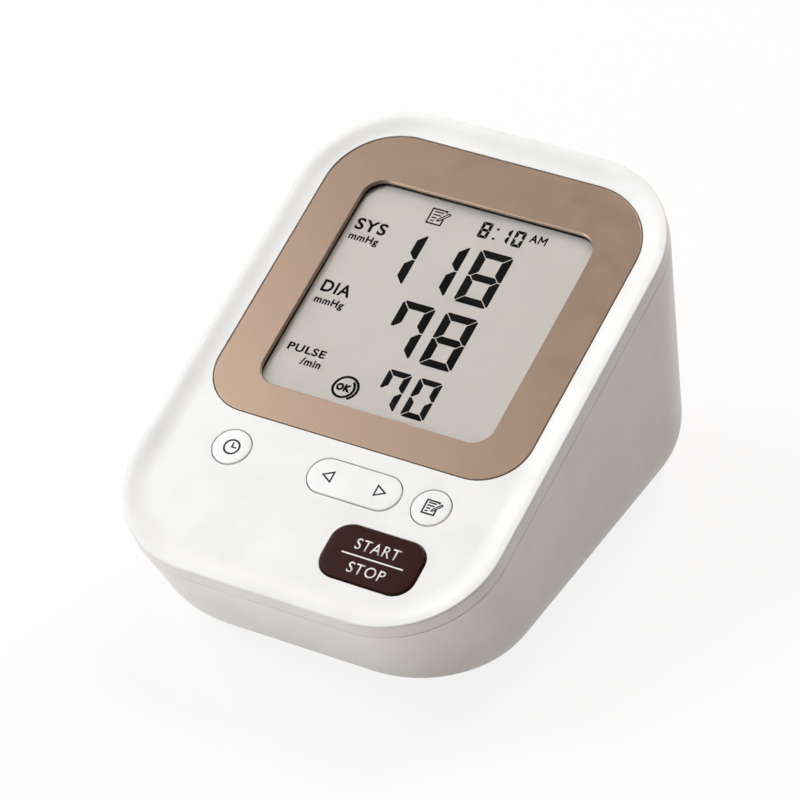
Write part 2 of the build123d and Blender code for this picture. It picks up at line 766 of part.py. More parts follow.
dome_top = stem_end + start_travel + seat_gap
mat_top = -board_depth + mat_thickness
dome_places = [(-round_key_u, key_row_v), (rocker_u - rocker_stem_u, key_row_v),
               (rocker_u + rocker_stem_u, key_row_v), (round_key_u, key_row_v), (start_u, start_v)]
mat_row_length = 2 * (key_radius + mat_margin)
mat_row_width = 2 * (round_key_u + key_radius)
mat_start_width = start_width - 2 * key_wall
with BuildPart() as keypad_mat:
    with BuildSketch(on_panel(n=-board_depth)):
        with Locations((0, key_row_v)):
            RectangleRounded(mat_row_width, mat_row_length, mat_corner)
        with Locations((start_u, (key_row_v + start_v) / 2)):
            RectangleRounded(mat_start_width, key_row_v - start_v + start_length / 2, mat_corner)
    extrude(amount=mat_thickness)
    with BuildSketch(on_panel(n=mat_top)):
        with Locations(*dome_places):
            Circle(dome_radius)
    extrude(amount=-mat_top - dome_top, taper=dome_taper)
save(keypad_mat, "keypad_mat")

# ---------------------------------------------------------------- battery bay
spring_room = bay_spring_length - 2 * spring_wire
cell_rows = [(bay_y + (i - (cell_count - 1) / 2) * cell_pitch, 1 if i % 2 else -1) for i in range(cell_count)]
plus_x = bay_half_x - contact_thickness            # inner face of the contact plates

with BuildPart() as batteries:
    for y, side in cell_rows:
        start = side * (plus_x - nub_length)
        with BuildSketch(Plane((start, y, cell_z), (0, 1, 0), (-side, 0, 0))):
            Circle(cell_radius)
        extrude(amount=cell_length)
        with BuildSketch(Plane((start, y, cell_z), (0, 1, 0), (side, 0, 0))):
            Circle(nub_radius)
        extrude(amount=nub_length)
save(batteries, "batteries")

with BuildPart() as contact_plates:
    for y, side in cell_rows:
        for end in (-1, 1):
            with BuildSketch(Plane((end * plus_x, y, cell_z), (0, 1, 0), (end, 0, 0))):
                Rectangle(contact_size, contact_size)
            extrude(amount=contact_thickness)
save(contact_plates, "contact_plates")

with BuildPart() as battery_springs:
    for y, side in cell_rows:
        base_x = -side * (plus_x - spring_wire)
        with BuildLine():
            coil = Helix(spring_room / spring_turns, spring_room, spring_radius,
                         center=(base_x, y, cell_z), direction=(side, 0, 0))
        with BuildSketch(Plane(coil @ 0, z_dir=coil % 0)):
            RegularPolygon(spring_wire, 6)
        sweep(path=coil, is_frenet=True)
save(battery_springs, "battery_springs")

with BuildPart() as battery_cover:
    with BuildSketch(Plane.XY.offset(foot_height)):
        with Locations((0, bay_y)):
            bay_rectangle(cover_ledge - cover_gap, cover_corner - cover_gap)
    extrude(amount=cover_thickness)
    # hooked tabs at the hinge edge
    inner_edge = hinge_y - cover_ledge - cover_gap
    tab_root = inner_edge - tab_thickness
    tab_high = tab_low + tab_thickness
    for x in (-tab_x, tab_x):
        with BuildSketch(Plane.YZ.offset(x - tab_width / 2)):
            with BuildLine():
                Polyline((tab_root, cover_top), (inner_edge, cover_top), (inner_edge, tab_low),
                         (hinge_y + tab_reach, tab_low), (hinge_y + tab_reach, tab_high),
                         (tab_root, tab_high), close=True)
            make_face()
        extrude(amount=tab_width)
    # snap tongue at the free edge
    free_edge = bay_y - bay_half_y + cover_gap
    with BuildSketch(Plane.XY.offset(cover_top)):
        with Locations((0, free_edge)):
            Rectangle(latch_width, latch_thickness, align=(Align.CENTER, Align.MIN))
    extrude(amount=latch_height)
    # finger grip
    with BuildSketch(Plane.XY.offset(foot_height)):
        with Locations((0, bay_y - bay_half_y + 2 * grip_width)):
            with GridLocations(0, 2 * grip_width, 1, 3):
                SlotOverall(grip_length, grip_width)
    extrude(amount=grip_depth, mode=Mode.SUBTRACT)
save(battery_cover, "battery_cover")

# ---------------------------------------------------------------- feet and case screws
with BuildPart() as rubber_feet:
    for x, y in feet_places:
        with BuildSketch(Plane.XY):
            with Locations((x, y)):
                Circle(foot_radius)
        extrude(amount=foot_height + foot_seat)
    chamfer(rubber_feet.faces().group_by(Axis.Z)[0].edges(), foot_height / 4)
save(rubber_feet, "rubber_feet")

with BuildPart() as case_screws:
    for x, y in post_places:
        seat = post_joint(y) - web_thickness
        with BuildSketch(Plane.XY.offset(seat - screw_head_height)):
            with Locations((x, y)):
                Circle(screw_head_radius)
        extrude(amount=screw_head_height)
        with BuildSketch(Plane.XY.offset(seat)):
            with Locations((x, y)):
                Circle(screw_radius)
        extrude(amount=screw_reach)
save(case_screws, "case_screws")

# ---------------------------------------------------------------- pump: motor, crank, drive plate, head
def pump_plane(depth):
    """Plane across the pump's axis, facing the head, at this depth from the motor's face."""
    return Plane(origin=(pump_x - depth, pump_y, pump_z), x_dir=(0, 1, 0), z_dir=(-1, 0, 0))


def round_bar(depth, length, radius, bore=0.0):
    """Disc or ring on the pump's axis, from this depth towards the head, in the current part."""
    with BuildSketch(pump_plane(depth)) as disc:
        Circle(radius)
        if bore:
            Circle(bore, mode=Mode.SUBTRACT)
    extrude(disc.sketch, amount=length)


with BuildPart() as pump_motor:
    round_bar(-motor_length, motor_length, motor_radius)
    fillet(pump_motor.faces().sort_by(Axis.X)[-1].edges(), motor_rear_round)
    fillet(pump_motor.faces().sort_by(Axis.X)[0].edges(), motor_front_round)
    round_bar(-motor_length - motor_cap, motor_cap, motor_cap_radius)
    with BuildSketch(pump_plane(-motor_length)):
        with Locations((0, terminal_offset), (0, -terminal_offset)):
            Rectangle(terminal_width, terminal_thickness)
    extrude(amount=-terminal_length)
    with BuildSketch(pump_plane(-shaft_depth)):
        Circle(shaft_radius + running_gap)
    extrude(amount=shaft_depth, mode=Mode.SUBTRACT)
save(pump_motor, "pump_motor")

with BuildPart() as motor_shaft:
    round_bar(-shaft_depth + seat_gap, shaft_depth - seat_gap + crank_place + crank_length, shaft_radius)
save(motor_shaft, "motor_shaft")

lean = radians(swash_tilt)
pin_dir = Vector(-cos(lean), 0, sin(lean))
swash_centre = Vector(pump_x - swash_place, pump_y, pump_z)
with BuildPart() as drive_crank:
    round_bar(crank_place, crank_length, crank_radius)
    with BuildSketch(Plane(swash_centre - pin_dir * (swash_place - crank_place - crank_length / 2),
                           x_dir=(0, 1, 0), z_dir=pin_dir)):
        Circle(crank_pin)
    extrude(amount=crank_pin_end - crank_place - crank_length / 2)
    with BuildSketch(pump_plane(crank_place)):
        Circle(shaft_radius)
    extrude(amount=crank_length, mode=Mode.SUBTRACT)
save(drive_crank, "drive_crank")

with BuildPart() as drive_plate:
    with BuildSketch(Plane(swash_centre - pin_dir * (swash_thickness / 2), x_dir=(0, 1, 0), z_dir=pin_dir)):
        Circle(hub_radius)
        with PolarLocations(cup_orbit, 3):
            Circle(swash_radius - cup_orbit)
        with PolarLocations(cup_orbit / 2, 3):
            Rectangle(cup_orbit, arm_width)
    extrude(amount=swash_thickness)
    with BuildSketch(Plane(swash_centre - pin_dir * (swash_thickness / 2), x_dir=(0, 1, 0), z_dir=pin_dir)):
        Circle(crank_pin + running_gap)
    extrude(amount=swash_thickness, mode=Mode.SUBTRACT)
save(drive_plate, "drive_plate")

with BuildPart() as pump_frame:
    round_bar(0, frame_wall, frame_radius, shaft_radius + frame_wall)
    round_bar(frame_wall, frame_length - frame_wall, frame_radius, frame_radius - frame_wall)
save(pump_frame, "pump_frame")

with BuildPart() as diaphragm:
    round_bar(frame_length, diaphragm_thickness, frame_radius)
    with BuildSketch(pump_plane(frame_length)):
        with PolarLocations(cup_orbit, 3):
            Circle(cup_radius)
    extrude(amount=-cup_length, taper=cup_taper)
save(diaphragm, "diaphragm")

head_depth = frame_length + diaphragm_thickness
with BuildPart() as pump_head:
    round_bar(head_depth, pump_head_length, frame_radius)
    fillet(pump_head.faces().sort_by(Axis.X)[0].edges(), pump_head_round)
    round_bar(head_depth + pump_head_length, nipple_length, tube_bore - running_gap)
    with BuildSketch(pump_plane(head_depth + pump_head_length / 2)):
        Circle(nipple_bore)
    extrude(amount=pump_head_length / 2 + nipple_length, mode=Mode.SUBTRACT)
save(pump_head, "pump_head")

with BuildPart() as pump_cushion:
    with BuildSketch(Plane.YZ.offset(cradle_x - cushion_length / 2)):
        with Locations((pump_y, pump_z)):
            Circle(cradle_bore)
            Circle(motor_radius, mode=Mode.SUBTRACT)
    extrude(amount=cushion_length)
save(pump_cushion, "pump_cushion")

# ---------------------------------------------------------------- release valve, on the battery bay
valve_base = bay_roof + bay_wall
bore_low = valve_base + valve_wall
plunger_top = valve_base + valve_height - valve_wall - plunger_travel / 4
plunger_base = plunger_top - plunger_length


def valve_disc(z, length, radius, mode=Mode.ADD):
    with BuildSketch(Plane.XY.offset(z)) as disc:
        with Locations((valve_x, valve_y)):
            Circle(radius)
    extrude(disc.sketch, amount=length, mode=mode)


with BuildPart() as release_valve:
    with BuildSketch(Plane.XY.offset(valve_base)):
        with Locations((valve_x, valve_y)):
            RectangleRounded(valve_width, valve_width, valve_corner)
    extrude(amount=valve_height)
    valve_disc(valve_base + valve_height, nipple_length, tube_bore - running_gap)
    valve_disc(bore_low, valve_height - 2 * valve_wall, plunger_radius + running_gap, Mode.SUBTRACT)
    valve_disc(bore_low, valve_height - valve_wall + nipple_length, nipple_bore, Mode.SUBTRACT)
save(release_valve, "release_valve")

with BuildPart() as valve_plunger:
    valve_disc(plunger_base, plunger_length, plunger_radius)
    chamfer(valve_plunger.faces().sort_by(Axis.Z)[-1].edges(), plunger_chamfer)
save(valve_plunger, "valve_plunger")

with BuildPart() as valve_spring:
    coil_room = plunger_base - bore_low - 2 * valve_spring_wire
    with BuildLine():
        coil = Helix(coil_room / valve_spring_turns, coil_room, plunger_radius - 2 * valve_spring_wire,
                     center=(valve_x, valve_y, bore_low + valve_spring_wire))
    with BuildSketch(Plane(coil @ 0, z_dir=coil % 0)):
        RegularPolygon(valve_spring_wire, 6)
    sweep(path=coil, is_frenet=True)
save(valve_spring, "valve_spring")

# ---------------------------------------------------------------- sockets, seated against the leaning walls
socket_seat = wedge(case_wall + fit_gap, -parting_depth)
jack_out = -side_wall(jack_z) + jack_recess
with BuildPart() as air_jack:
    with BuildSketch(Plane.YZ.offset(-side_wall(jack_z) - case_wall)):
        with Locations((jack_y, jack_z)):
            Circle(jack_radius + flange_reach)
    extrude(amount=2 * case_wall + fit_gap + jack_flange)
    add(socket_seat, mode=Mode.INTERSECT)
    with BuildSketch(Plane.YZ.offset(jack_out)):
        with Locations((jack_y, jack_z)):
            Circle(jack_radius)
    extrude(amount=jack_length)
    with BuildSketch(Plane.YZ.offset(jack_out + jack_length)):
        with Locations((jack_y, jack_z)):
            Circle(tube_bore - running_gap)
    extrude(amount=nipple_length)
    with BuildSketch(Plane.YZ.offset(jack_out)):
        with Locations((jack_y, jack_z)):
            Circle(jack_bore)
    extrude(amount=jack_depth, mode=Mode.SUBTRACT)
    with BuildSketch(Plane.YZ.offset(jack_out)):
        with Locations((jack_y, jack_z)):
            Circle(nipple_bore)
    extrude(amount=jack_length + nipple_length, mode=Mode.SUBTRACT)
save(air_jack, "air_jack")

dc_face = back_wall(dc_z) - dc_recess
with BuildPart() as dc_jack:
    with BuildSketch(Plane.XZ.offset(dc_length - dc_face)):
        with Locations((dc_x, dc_z)):
            Rectangle(dc_body, dc_body)
    extrude(amount=-dc_length - case_wall)
    add(socket_seat, mode=Mode.INTERSECT)
    with BuildSketch(Plane.XZ.offset(-dc_face)):
        with Locations((dc_x, dc_z)):
            Circle(dc_nose)
    extrude(amount=dc_length)
    with BuildSketch(Plane.XZ.offset(-dc_face)):
        with Locations((dc_x, dc_z)):
            Circle(dc_bore)
            Circle(dc_pin, mode=Mode.SUBTRACT)
    extrude(amount=dc_depth, mode=Mode.SUBTRACT)
save(dc_jack, "dc_jack")

# ---------------------------------------------------------------- air line
tee = Vector(tee_x, tee_y, jack_z)
half = tee_size / 2
tee_ends = (Vector(-1, 0, 0), Vector(0, -1, 0), Vector(0, 0, 1), Vector(1, 0, 0))
with BuildPart() as air_tee:
    with BuildSketch(Plane(tee - Vector(0, 0, half))):
        RectangleRounded(tee_size, tee_size, tee_corner)
    extrude(amount=tee_size)
    for direction in tee_ends:
        with BuildSketch(Plane(tee + direction * half, z_dir=direction)):
            Circle(tube_bore - running_gap)
        extrude(amount=nipple_length)
    for direction in tee_ends:
        with BuildSketch(Plane(tee, z_dir=direction)):
            Circle(nipple_bore)
        extrude(amount=half + nipple_length, mode=Mode.SUBTRACT)
save(air_tee, "air_tee")

pump_port = Vector(pump_x - head_depth - pump_head_length, pump_y, pump_z)
jack_port = Vector(jack_out + jack_length, jack_y, jack_z)
valve_port = Vector(valve_x, valve_y, valve_base + valve_height)
sensor_port = sensor_plane.offset(-sensor_height).origin
sensor_out = -sensor_plane.z_dir
tube_paths = {
    "pump_tube": [pump_port, pump_port - (tube_side, 0, 0), (pump_port.X - tube_side, tee.Y, tee.Z),
                  tee - (half, 0, 0)],
    "jack_tube": [jack_port, (tee.X, jack_port.Y, jack_port.Z), tee - (0, half, 0)],
    "valve_tube": [valve_port, valve_port + (0, 0, tube_over), (valve_x, tee.Y, valve_port.Z + tube_over),
                   (valve_x, tee.Y, tee.Z), tee + (half, 0, 0)],
    "sensor_tube": [sensor_port, sensor_port + sensor_out * tube_drop, tee + (0, 0, half + tube_drop),
                    tee + (0, 0, half)],
}
for name, points in tube_paths.items():
    with BuildPart() as tube:
        with BuildLine() as route:
            FilletPolyline(*points, radius=tube_bend)
        with BuildSketch(Plane(route.line @ 0, z_dir=route.line % 0)):
            Circle(tube_bore + tube_wall)
            Circle(tube_bore, mode=Mode.SUBTRACT)
        sweep()
    save(tube, name)
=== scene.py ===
from math import cos, pi, radians, sin, tan

import bmesh
import bpy
from mathutils import Matrix, Vector


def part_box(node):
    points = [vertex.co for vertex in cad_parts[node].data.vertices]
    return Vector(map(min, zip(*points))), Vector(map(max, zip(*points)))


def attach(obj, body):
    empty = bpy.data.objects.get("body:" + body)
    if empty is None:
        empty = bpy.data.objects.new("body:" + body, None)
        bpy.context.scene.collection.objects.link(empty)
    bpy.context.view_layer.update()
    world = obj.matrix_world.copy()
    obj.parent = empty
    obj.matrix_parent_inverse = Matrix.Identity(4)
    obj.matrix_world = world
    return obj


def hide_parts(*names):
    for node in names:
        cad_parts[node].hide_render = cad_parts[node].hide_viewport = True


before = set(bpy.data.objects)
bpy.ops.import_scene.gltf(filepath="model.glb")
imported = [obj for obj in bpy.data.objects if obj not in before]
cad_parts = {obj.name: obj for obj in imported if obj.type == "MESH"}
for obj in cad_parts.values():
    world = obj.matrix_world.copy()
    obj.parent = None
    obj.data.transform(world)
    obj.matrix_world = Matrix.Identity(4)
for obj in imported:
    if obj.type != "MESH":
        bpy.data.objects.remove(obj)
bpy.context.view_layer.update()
mm = 0.001

# ================================================================ upper case
# The white cover of the sloping face, moulded in ABS with a fine satin grain. A raised rim runs round
# it and a soft slope leads down to the flat panel, so the face looks like a shallow tray. Its skirt
# sits on the lower case and leaves a hairline groove there.
tilt = radians(19.8)
bezel_thickness = 1.2 * mm
lens_thickness = 1.2 * mm
window_v = -2.8 * mm
lens_low, lens_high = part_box("display_lens")
panel = Matrix.Translation((lens_low + lens_high) / 2) @ Matrix.Rotation(tilt, 4, "X")
panel = panel @ Matrix.Translation((0, -window_v, bezel_thickness + lens_thickness / 2))

rim_width = 116 * mm
rim_length = 162.73 * mm
rim_corner = 32 * mm
rim_v = -21.88 * mm
crest_rise = 1.25 * mm
crest_round = 0.6 * mm
crest_width = 1.6 * mm
slope_width = 7.6 * mm
slope_tail = 3
panel_wall = 2.2 * mm
parting = -3.9 * mm
skirt_wall = 1.25 * mm
groove = 0.18 * mm
hole_lip = 0.22 * mm

bezel_width = 99.8 * mm
bezel_length = 101 * mm
bezel_front_corner = 14.5 * mm
bezel_rear_corner = 21 * mm
bezel_gap = 0.34 * mm
window_width = 73.8 * mm
window_length = 73.6 * mm
window_corner = 6.2 * mm
lens_margin = 2.8 * mm

key_gap = 0.3 * mm
key_radius = 5.65 * mm
round_size = (2 * key_radius, 2 * key_radius, key_radius)
rocker_size = (28.6 * mm, 2 * key_radius, 0.98 * key_radius)
start_size = (28.7 * mm, 17 * mm, 5.8 * mm)
key_row_v = -62.25 * mm
clock_place = (-31.67 * mm, key_row_v)
rocker_place = (7.6 * mm, key_row_v)
memo_place = (31.67 * mm, key_row_v)
start_place = (23.8 * mm, -82.45 * mm)
corner_segments = 20
weld = 0.002 * mm
cloud_size = 14 * mm
sheen_size = 5 * mm
sheen_change = 0.08


def on_panel(u=0.0, v=0.0, n=0.0):
    """Frame parallel to the sloping face: u to the right, v up the slope, n out of it."""
    return panel @ Matrix.Translation((u, v, n))


def outline(bm, place, width, length, corner, rear_corner=None):
    """Flat rounded rectangle, or a circle where its corners meet; the rear corners may be larger."""
    tolerance = 0.001
    others = set(bm.faces)
    if 2 * corner > (1 - tolerance) * max(width, length):
        bmesh.ops.create_circle(bm, cap_ends=True, segments=4 * corner_segments, radius=width / 2)
    else:
        square = bmesh.ops.create_grid(bm, x_segments=1, y_segments=1, size=0.5,
                                       matrix=Matrix.Diagonal((width, length, 1, 1)))
        front = [vert for vert in square["verts"] if vert.co.y < 0]
        rear = [vert for vert in square["verts"] if vert.co.y > 0]
        for verts, radius in ((front, corner), (rear, rear_corner or corner)):
            bmesh.ops.bevel(bm, geom=verts, offset=radius, offset_type="OFFSET",
                            segments=corner_segments, profile=0.5, affect="VERTICES",
                            clamp_overlap=False, material=-1)
    face = next(face for face in bm.faces if face not in others)
    bmesh.ops.transform(bm, matrix=place, verts=face.verts)
    face.normal_update()
    return face


def steps(bm, face, profile):
    """Ring after ring inside a flat face; the profile gives the inset and the height of each ring."""
    for (inset, height), (next_inset, next_height) in zip(profile, profile[1:]):
        bmesh.ops.inset_individual(bm, faces=[face], thickness=next_inset - inset,
                                   depth=next_height - height, use_even_offset=True)


def quarter(turns):
    """Angles of a quarter turn, in even steps."""
    return [pi / 2 * i / turns for i in range(turns + 1)]


def rounded(inset, height, radius, turns=6):
    """Profile of a rounded edge, from an upright wall over to a flat top at this height."""
    return [(inset + radius * (1 - cos(a)), height - radius * (1 - sin(a))) for a in quarter(turns)]


def lipped(radius, depth):
    """Profile of a hole with a soft lip, from just over a face at height 0 down to this depth."""
    lip = [(radius * sin(a), radius * (cos(a) - 1)) for a in quarter(4)]
    return [(0, mm)] + lip + [(radius, -depth)]


def closed(bm):
    """Closes what is open, turns every face outwards and hands over the mesh."""
    bmesh.ops.remove_doubles(bm, verts=bm.verts, dist=weld)
    bmesh.ops.holes_fill(bm, edges=bm.edges, sides=0)
    bmesh.ops.recalc_face_normals(bm, faces=bm.faces)
    mesh = bpy.data.meshes.new("shape")
    bm.to_mesh(mesh)
    bm.free()
    return bpy.data.objects.new("shape", mesh)


def prism(place, size, low, high):
    """Upright block with rounded corners, its size given as width, length and corner radius."""
    bm = bmesh.new()
    face = outline(bm, place @ Matrix.Translation((0, 0, low)), *size)
    steps(bm, face, [(0, low), (0, high)])
    return closed(bm)


def hole(place, size, depth, rear_corner=None, margin=0.0, lip=hole_lip):
    """What a hole with a soft lip takes away."""
    bm = bmesh.new()
    width, length, corner = size
    grow = margin + lip
    rear = rear_corner + grow if rear_corner else None
    face = outline(bm, place @ Matrix.Translation((0, 0, mm)), width + 2 * grow, length + 2 * grow,
                   corner + grow, rear)
    steps(bm, face, lipped(lip, depth))
    return closed(bm)


def cut(piece, cutters):
    """Takes the cutters away from the piece."""
    tools = bpy.data.collections.new("cutters")
    bpy.context.scene.collection.children.link(tools)
    for cutter in cutters:
        tools.objects.link(cutter)
    boolean = piece.modifiers.new("cut", "BOOLEAN")
    boolean.operand_type = "COLLECTION"
    boolean.collection = tools
    boolean.solver = "EXACT"
    if not piece.users_scene:
        bpy.context.scene.collection.objects.link(piece)
    seen = piece.evaluated_get(bpy.context.evaluated_depsgraph_get())
    piece.data = bpy.data.meshes.new_from_object(seen)
    piece.modifiers.clear()
    for cutter in cutters:
        bpy.data.objects.remove(cutter)
    bpy.data.collections.remove(tools)
    bpy.context.scene.collection.objects.unlink(piece)
    return piece


def dress(piece, name, *materials, crease=35):
    """Names a finished piece, smooths it up to its edges and gives it its materials."""
    piece.name = name
    piece.data.name = name
    piece.data.shade_smooth()
    piece.data.set_sharp_from_angle(angle=radians(crease))
    piece.data.materials.clear()
    for material in materials:
        piece.data.materials.append(material)
    shading = piece.modifiers.new("shading", "WEIGHTED_NORMAL")
    shading.keep_sharp = True
    bpy.context.scene.collection.objects.link(piece)
    return piece


def tint(red, green, blue):
    """Colour from its display values of 0 to 255."""
    return tuple(((c / 255 + 0.055) / 1.055) ** 2.4 for c in (red, green, blue)) + (1.0,)


def shader_of(name):
    """New material with its nodes, its links and its main shader."""
    material = bpy.data.materials.new(name)
    material.use_nodes = True
    tree = material.node_tree
    return material, tree.nodes, tree.links, tree.nodes["Principled BSDF"]


def noise(nodes, links, size, detail=3.0):
    """Noise on the piece's own coordinates, with blotches of this size."""
    where = nodes.new("ShaderNodeTexCoord")
    texture = nodes.new("ShaderNodeTexNoise")
    texture.inputs["Scale"].default_value = 1 / size
    texture.inputs["Detail"].default_value = detail
    links.new(where.outputs["Object"], texture.inputs["Vector"])
    return texture.outputs["Fac"]


def spread(nodes, links, value, low, high):
    """Stretches the middle of a noise over low to high."""
    span = nodes.new("ShaderNodeMapRange")
    span.inputs["From Min"].default_value = 0.3
    span.inputs["From Max"].default_value = 0.7
    span.inputs["To Min"].default_value = low
    span.inputs["To Max"].default_value = high
    links.new(value, span.inputs["Value"])
    return span.outputs["Result"]


def blend(nodes, links, factor, first, second):
    """Mixes two colours; on the Mix node they are inputs 6 and 7 and output 2."""
    mix = nodes.new("ShaderNodeMix")
    mix.data_type = "RGBA"
    mix.inputs[6].default_value = first
    mix.inputs[7].default_value = second
    links.new(factor, mix.inputs[0])
    return mix.outputs[2]


def bump(nodes, links, value, depth):
    """Relief of this depth from a noise."""
    relief = nodes.new("ShaderNodeBump")
    relief.inputs["Strength"].default_value = 1.0
    relief.inputs["Distance"].default_value = depth
    links.new(value, relief.inputs["Height"])
    return relief.outputs["Normal"]


def moulded(name, colour, roughness, grain=0.35 * mm, depth=0.004 * mm, cloudy=0.03, **gloss):
    """Moulded plastic: a faintly cloudy colour, an uneven sheen and the fine grain of its mould."""
    material, nodes, links, shader = shader_of(name)
    clouds = spread(nodes, links, noise(nodes, links, cloud_size), 0, 1)
    darker = tuple(c * (1 - 2 * cloudy) for c in colour[:3]) + (1.0,)
    links.new(blend(nodes, links, clouds, colour, darker), shader.inputs["Base Color"])
    sheen = spread(nodes, links, noise(nodes, links, sheen_size),
                   roughness * (1 - sheen_change), roughness * (1 + sheen_change))
    links.new(sheen, shader.inputs["Roughness"])
    links.new(bump(nodes, links, noise(nodes, links, grain, 2.0), depth), shader.inputs["Normal"])
    for socket, value in gloss.items():
        shader.inputs[socket.replace("_", " ")].default_value = value
    return material


case_white = moulded("case_white", tint(238, 237, 235), 0.42, Specular_IOR_Level=0.3)


def dish(turns=16):
    """Profile of the soft slope from the crest of the rim down to the panel, with a long flat foot."""
    shares = [i / turns for i in range(turns + 1)]
    return [(crest_width + slope_width * t, crest_rise * (1 - t) ** slope_tail * (1 + slope_tail * t))
            for t in shares]


tray = bmesh.new()
underside = outline(tray, on_panel(0, rim_v, -panel_wall), rim_width - 2 * skirt_wall,
                    rim_length - 2 * skirt_wall, rim_corner - skirt_wall)
skirt_foot = parting + groove / 4
steps(tray, underside, [(skirt_wall, -panel_wall), (skirt_wall, skirt_foot), (groove, skirt_foot),
                        (0, skirt_foot + groove)] + rounded(0, crest_rise, crest_round) + dish())
bezel_size = (bezel_width, bezel_length, bezel_front_corner)
lens_size = (window_width + 2 * lens_margin, window_length + 2 * lens_margin, window_corner + lens_margin)
holes = [hole(on_panel(), bezel_size, bezel_thickness, bezel_rear_corner, bezel_gap, hole_lip / 2),
         prism(on_panel(0, window_v), lens_size, -2 * panel_wall, 0)]
for spot, size in ((clock_place, round_size), (rocker_place, rocker_size), (memo_place, round_size),
                   (start_place, start_size)):
    holes.append(hole(on_panel(*spot), size, 2 * panel_wall, margin=key_gap))
upper = cut(closed(tray), holes)
dress(upper, "upper_shell", case_white)
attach(upper, "case")
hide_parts("upper_case")

# ================================================================ lower case
# A white tub of the same ABS. Its front wall leans in below the rim, the underside turns up in one big
# soft round, and the floor holds the battery bay, four deep screw wells and shallow seats for the feet.
base_width = 117.8 * mm
base_length = 144.6 * mm
base_corner = 36.7 * mm
base_y = 9.7 * mm
bottom_round = 18 * mm
wall_rows = 4
round_rows = 14
foot_height = 1 * mm
case_wall = 2.5 * mm
lip_inset = 1.4 * mm
lip_rise = 1.6 * mm
room_rise = 3 * mm

bay_y = -8 * mm
bay_size = (56.5 * mm, 59.6 * mm, 0.6 * mm)
bay_wall = 1.8 * mm
bay_corner = 1.5 * mm
bay_roof = 18.1 * mm
cover_seat_size = (60.5 * mm, 63.6 * mm, 4 * mm)
cover_seat_top = 3.15 * mm
tab_slot_size = (8.6 * mm, 6.5 * mm, 0.3 * mm)
tab_slot_foot = 2 * mm
tab_slot_top = 6.6 * mm
tab_x = 18 * mm
hinge_y = 23.8 * mm

post_places = [(-44 * mm, -38 * mm), (44 * mm, -38 * mm), (-44 * mm, 52 * mm), (44 * mm, 52 * mm)]
post_length = 20 * mm
boss_radius = 4.4 * mm
well_radius = 3.4 * mm
screw_web = 3 * mm
screw_bore = 1.56 * mm
rib_size = (15 * mm, 1.6 * mm, 0.2 * mm)
rib_drop = 4 * mm
rib_reach = 8 * mm
foot_places = [(-30 * mm, -46 * mm), (30 * mm, -46 * mm), (-33 * mm, 55 * mm), (33 * mm, 55 * mm)]
foot_radius = 5 * mm
foot_seat = 0.6 * mm
jack_place = (-59 * mm, 2 * mm, 33 * mm)
jack_radius = 6.2 * mm
inlet_place = (14 * mm, 79 * mm, 27 * mm)
inlet_radius = 4.4 * mm
socket_cut = 8 * mm
seat_gap = 0.15 * mm
pump_place = (11 * mm, 42 * mm, 20 * mm)
cradle_size = (14 * mm, 34 * mm, 0.3 * mm)
cradle_top = 16 * mm
cradle_bore = 14 * mm
cradle_cut = 9 * mm


def tub(inset, top):
    """Form of the lower case below this panel level, its faces moved in by inset, with its top face."""
    bm = bmesh.new()
    station = bm.verts.layers.int.new("station")
    rim = outline(bm, on_panel(0, rim_v, top), rim_width - 2 * inset, rim_length - 2 * inset,
                  rim_corner - inset)
    radius = bottom_round - inset
    floor = outline(bm, Matrix.Translation((0, base_y, foot_height + inset)), base_width - 2 * inset,
                    base_length - 2 * inset, base_corner - inset)
    half_x = base_width / 2 - base_corner
    half_y = base_length / 2 - base_corner
    sections = []
    for number, (upper_vert, lower_vert) in enumerate(zip(rim.verts, floor.verts)):
        upper_vert[station] = number
        corner = lower_vert.co.copy()
        nearest = Vector((max(-half_x, min(half_x, corner.x)),
                          base_y + max(-half_y, min(half_y, corner.y - base_y)), corner.z))
        outward = (corner - nearest).normalized()
        wall = upper_vert.co - corner
        facing_out = Vector((-outward.y, outward.x, 0)).cross(wall).normalized()
        tangent = corner + wall * (radius * (1 + facing_out.z) / wall.z)
        # The wall runs from the rim to the tangent, where the bottom round takes over from its centre.
        sections.append((upper_vert.co.copy(), tangent, tangent - facing_out * radius))
    bmesh.ops.delete(bm, geom=list(floor.verts), context="VERTS")
    down = Vector((0, 0, -1))
    rows = [("wall", (i + 1) / wall_rows) for i in range(wall_rows)]
    rows += [("round", (i + 1) / round_rows) for i in range(round_rows)]
    ring = list(rim.edges)
    for kind, share in rows:
        made = bmesh.ops.extrude_edge_only(bm, edges=ring)["geom"]
        ring = [part for part in made if isinstance(part, bmesh.types.BMEdge)]
        for vert in (part for part in made if isinstance(part, bmesh.types.BMVert)):
            rim_point, tangent, centre = sections[vert[station]]
            if kind == "wall":
                vert.co = rim_point.lerp(tangent, share)
            else:
                vert.co = centre + (tangent - centre).normalized().slerp(down, share) * radius
    return bm, rim


def post_joint(y):
    """Height at which a post of the upper case meets its boss."""
    origin = panel.translation
    return origin.z + (y - origin.y) * tan(tilt) - panel_wall / cos(tilt) - post_length


def rod(place, radius, low, high):
    """Round block along the z axis of its place."""
    bm = bmesh.new()
    middle = place @ Matrix.Translation((0, 0, (low + high) / 2))
    bmesh.ops.create_cone(bm, cap_ends=True, segments=64, radius1=radius, radius2=radius,
                          depth=high - low, matrix=middle)
    return closed(bm)


along_x = Matrix.Rotation(pi / 2, 4, "Y")
along_y = Matrix.Rotation(-pi / 2, 4, "X")

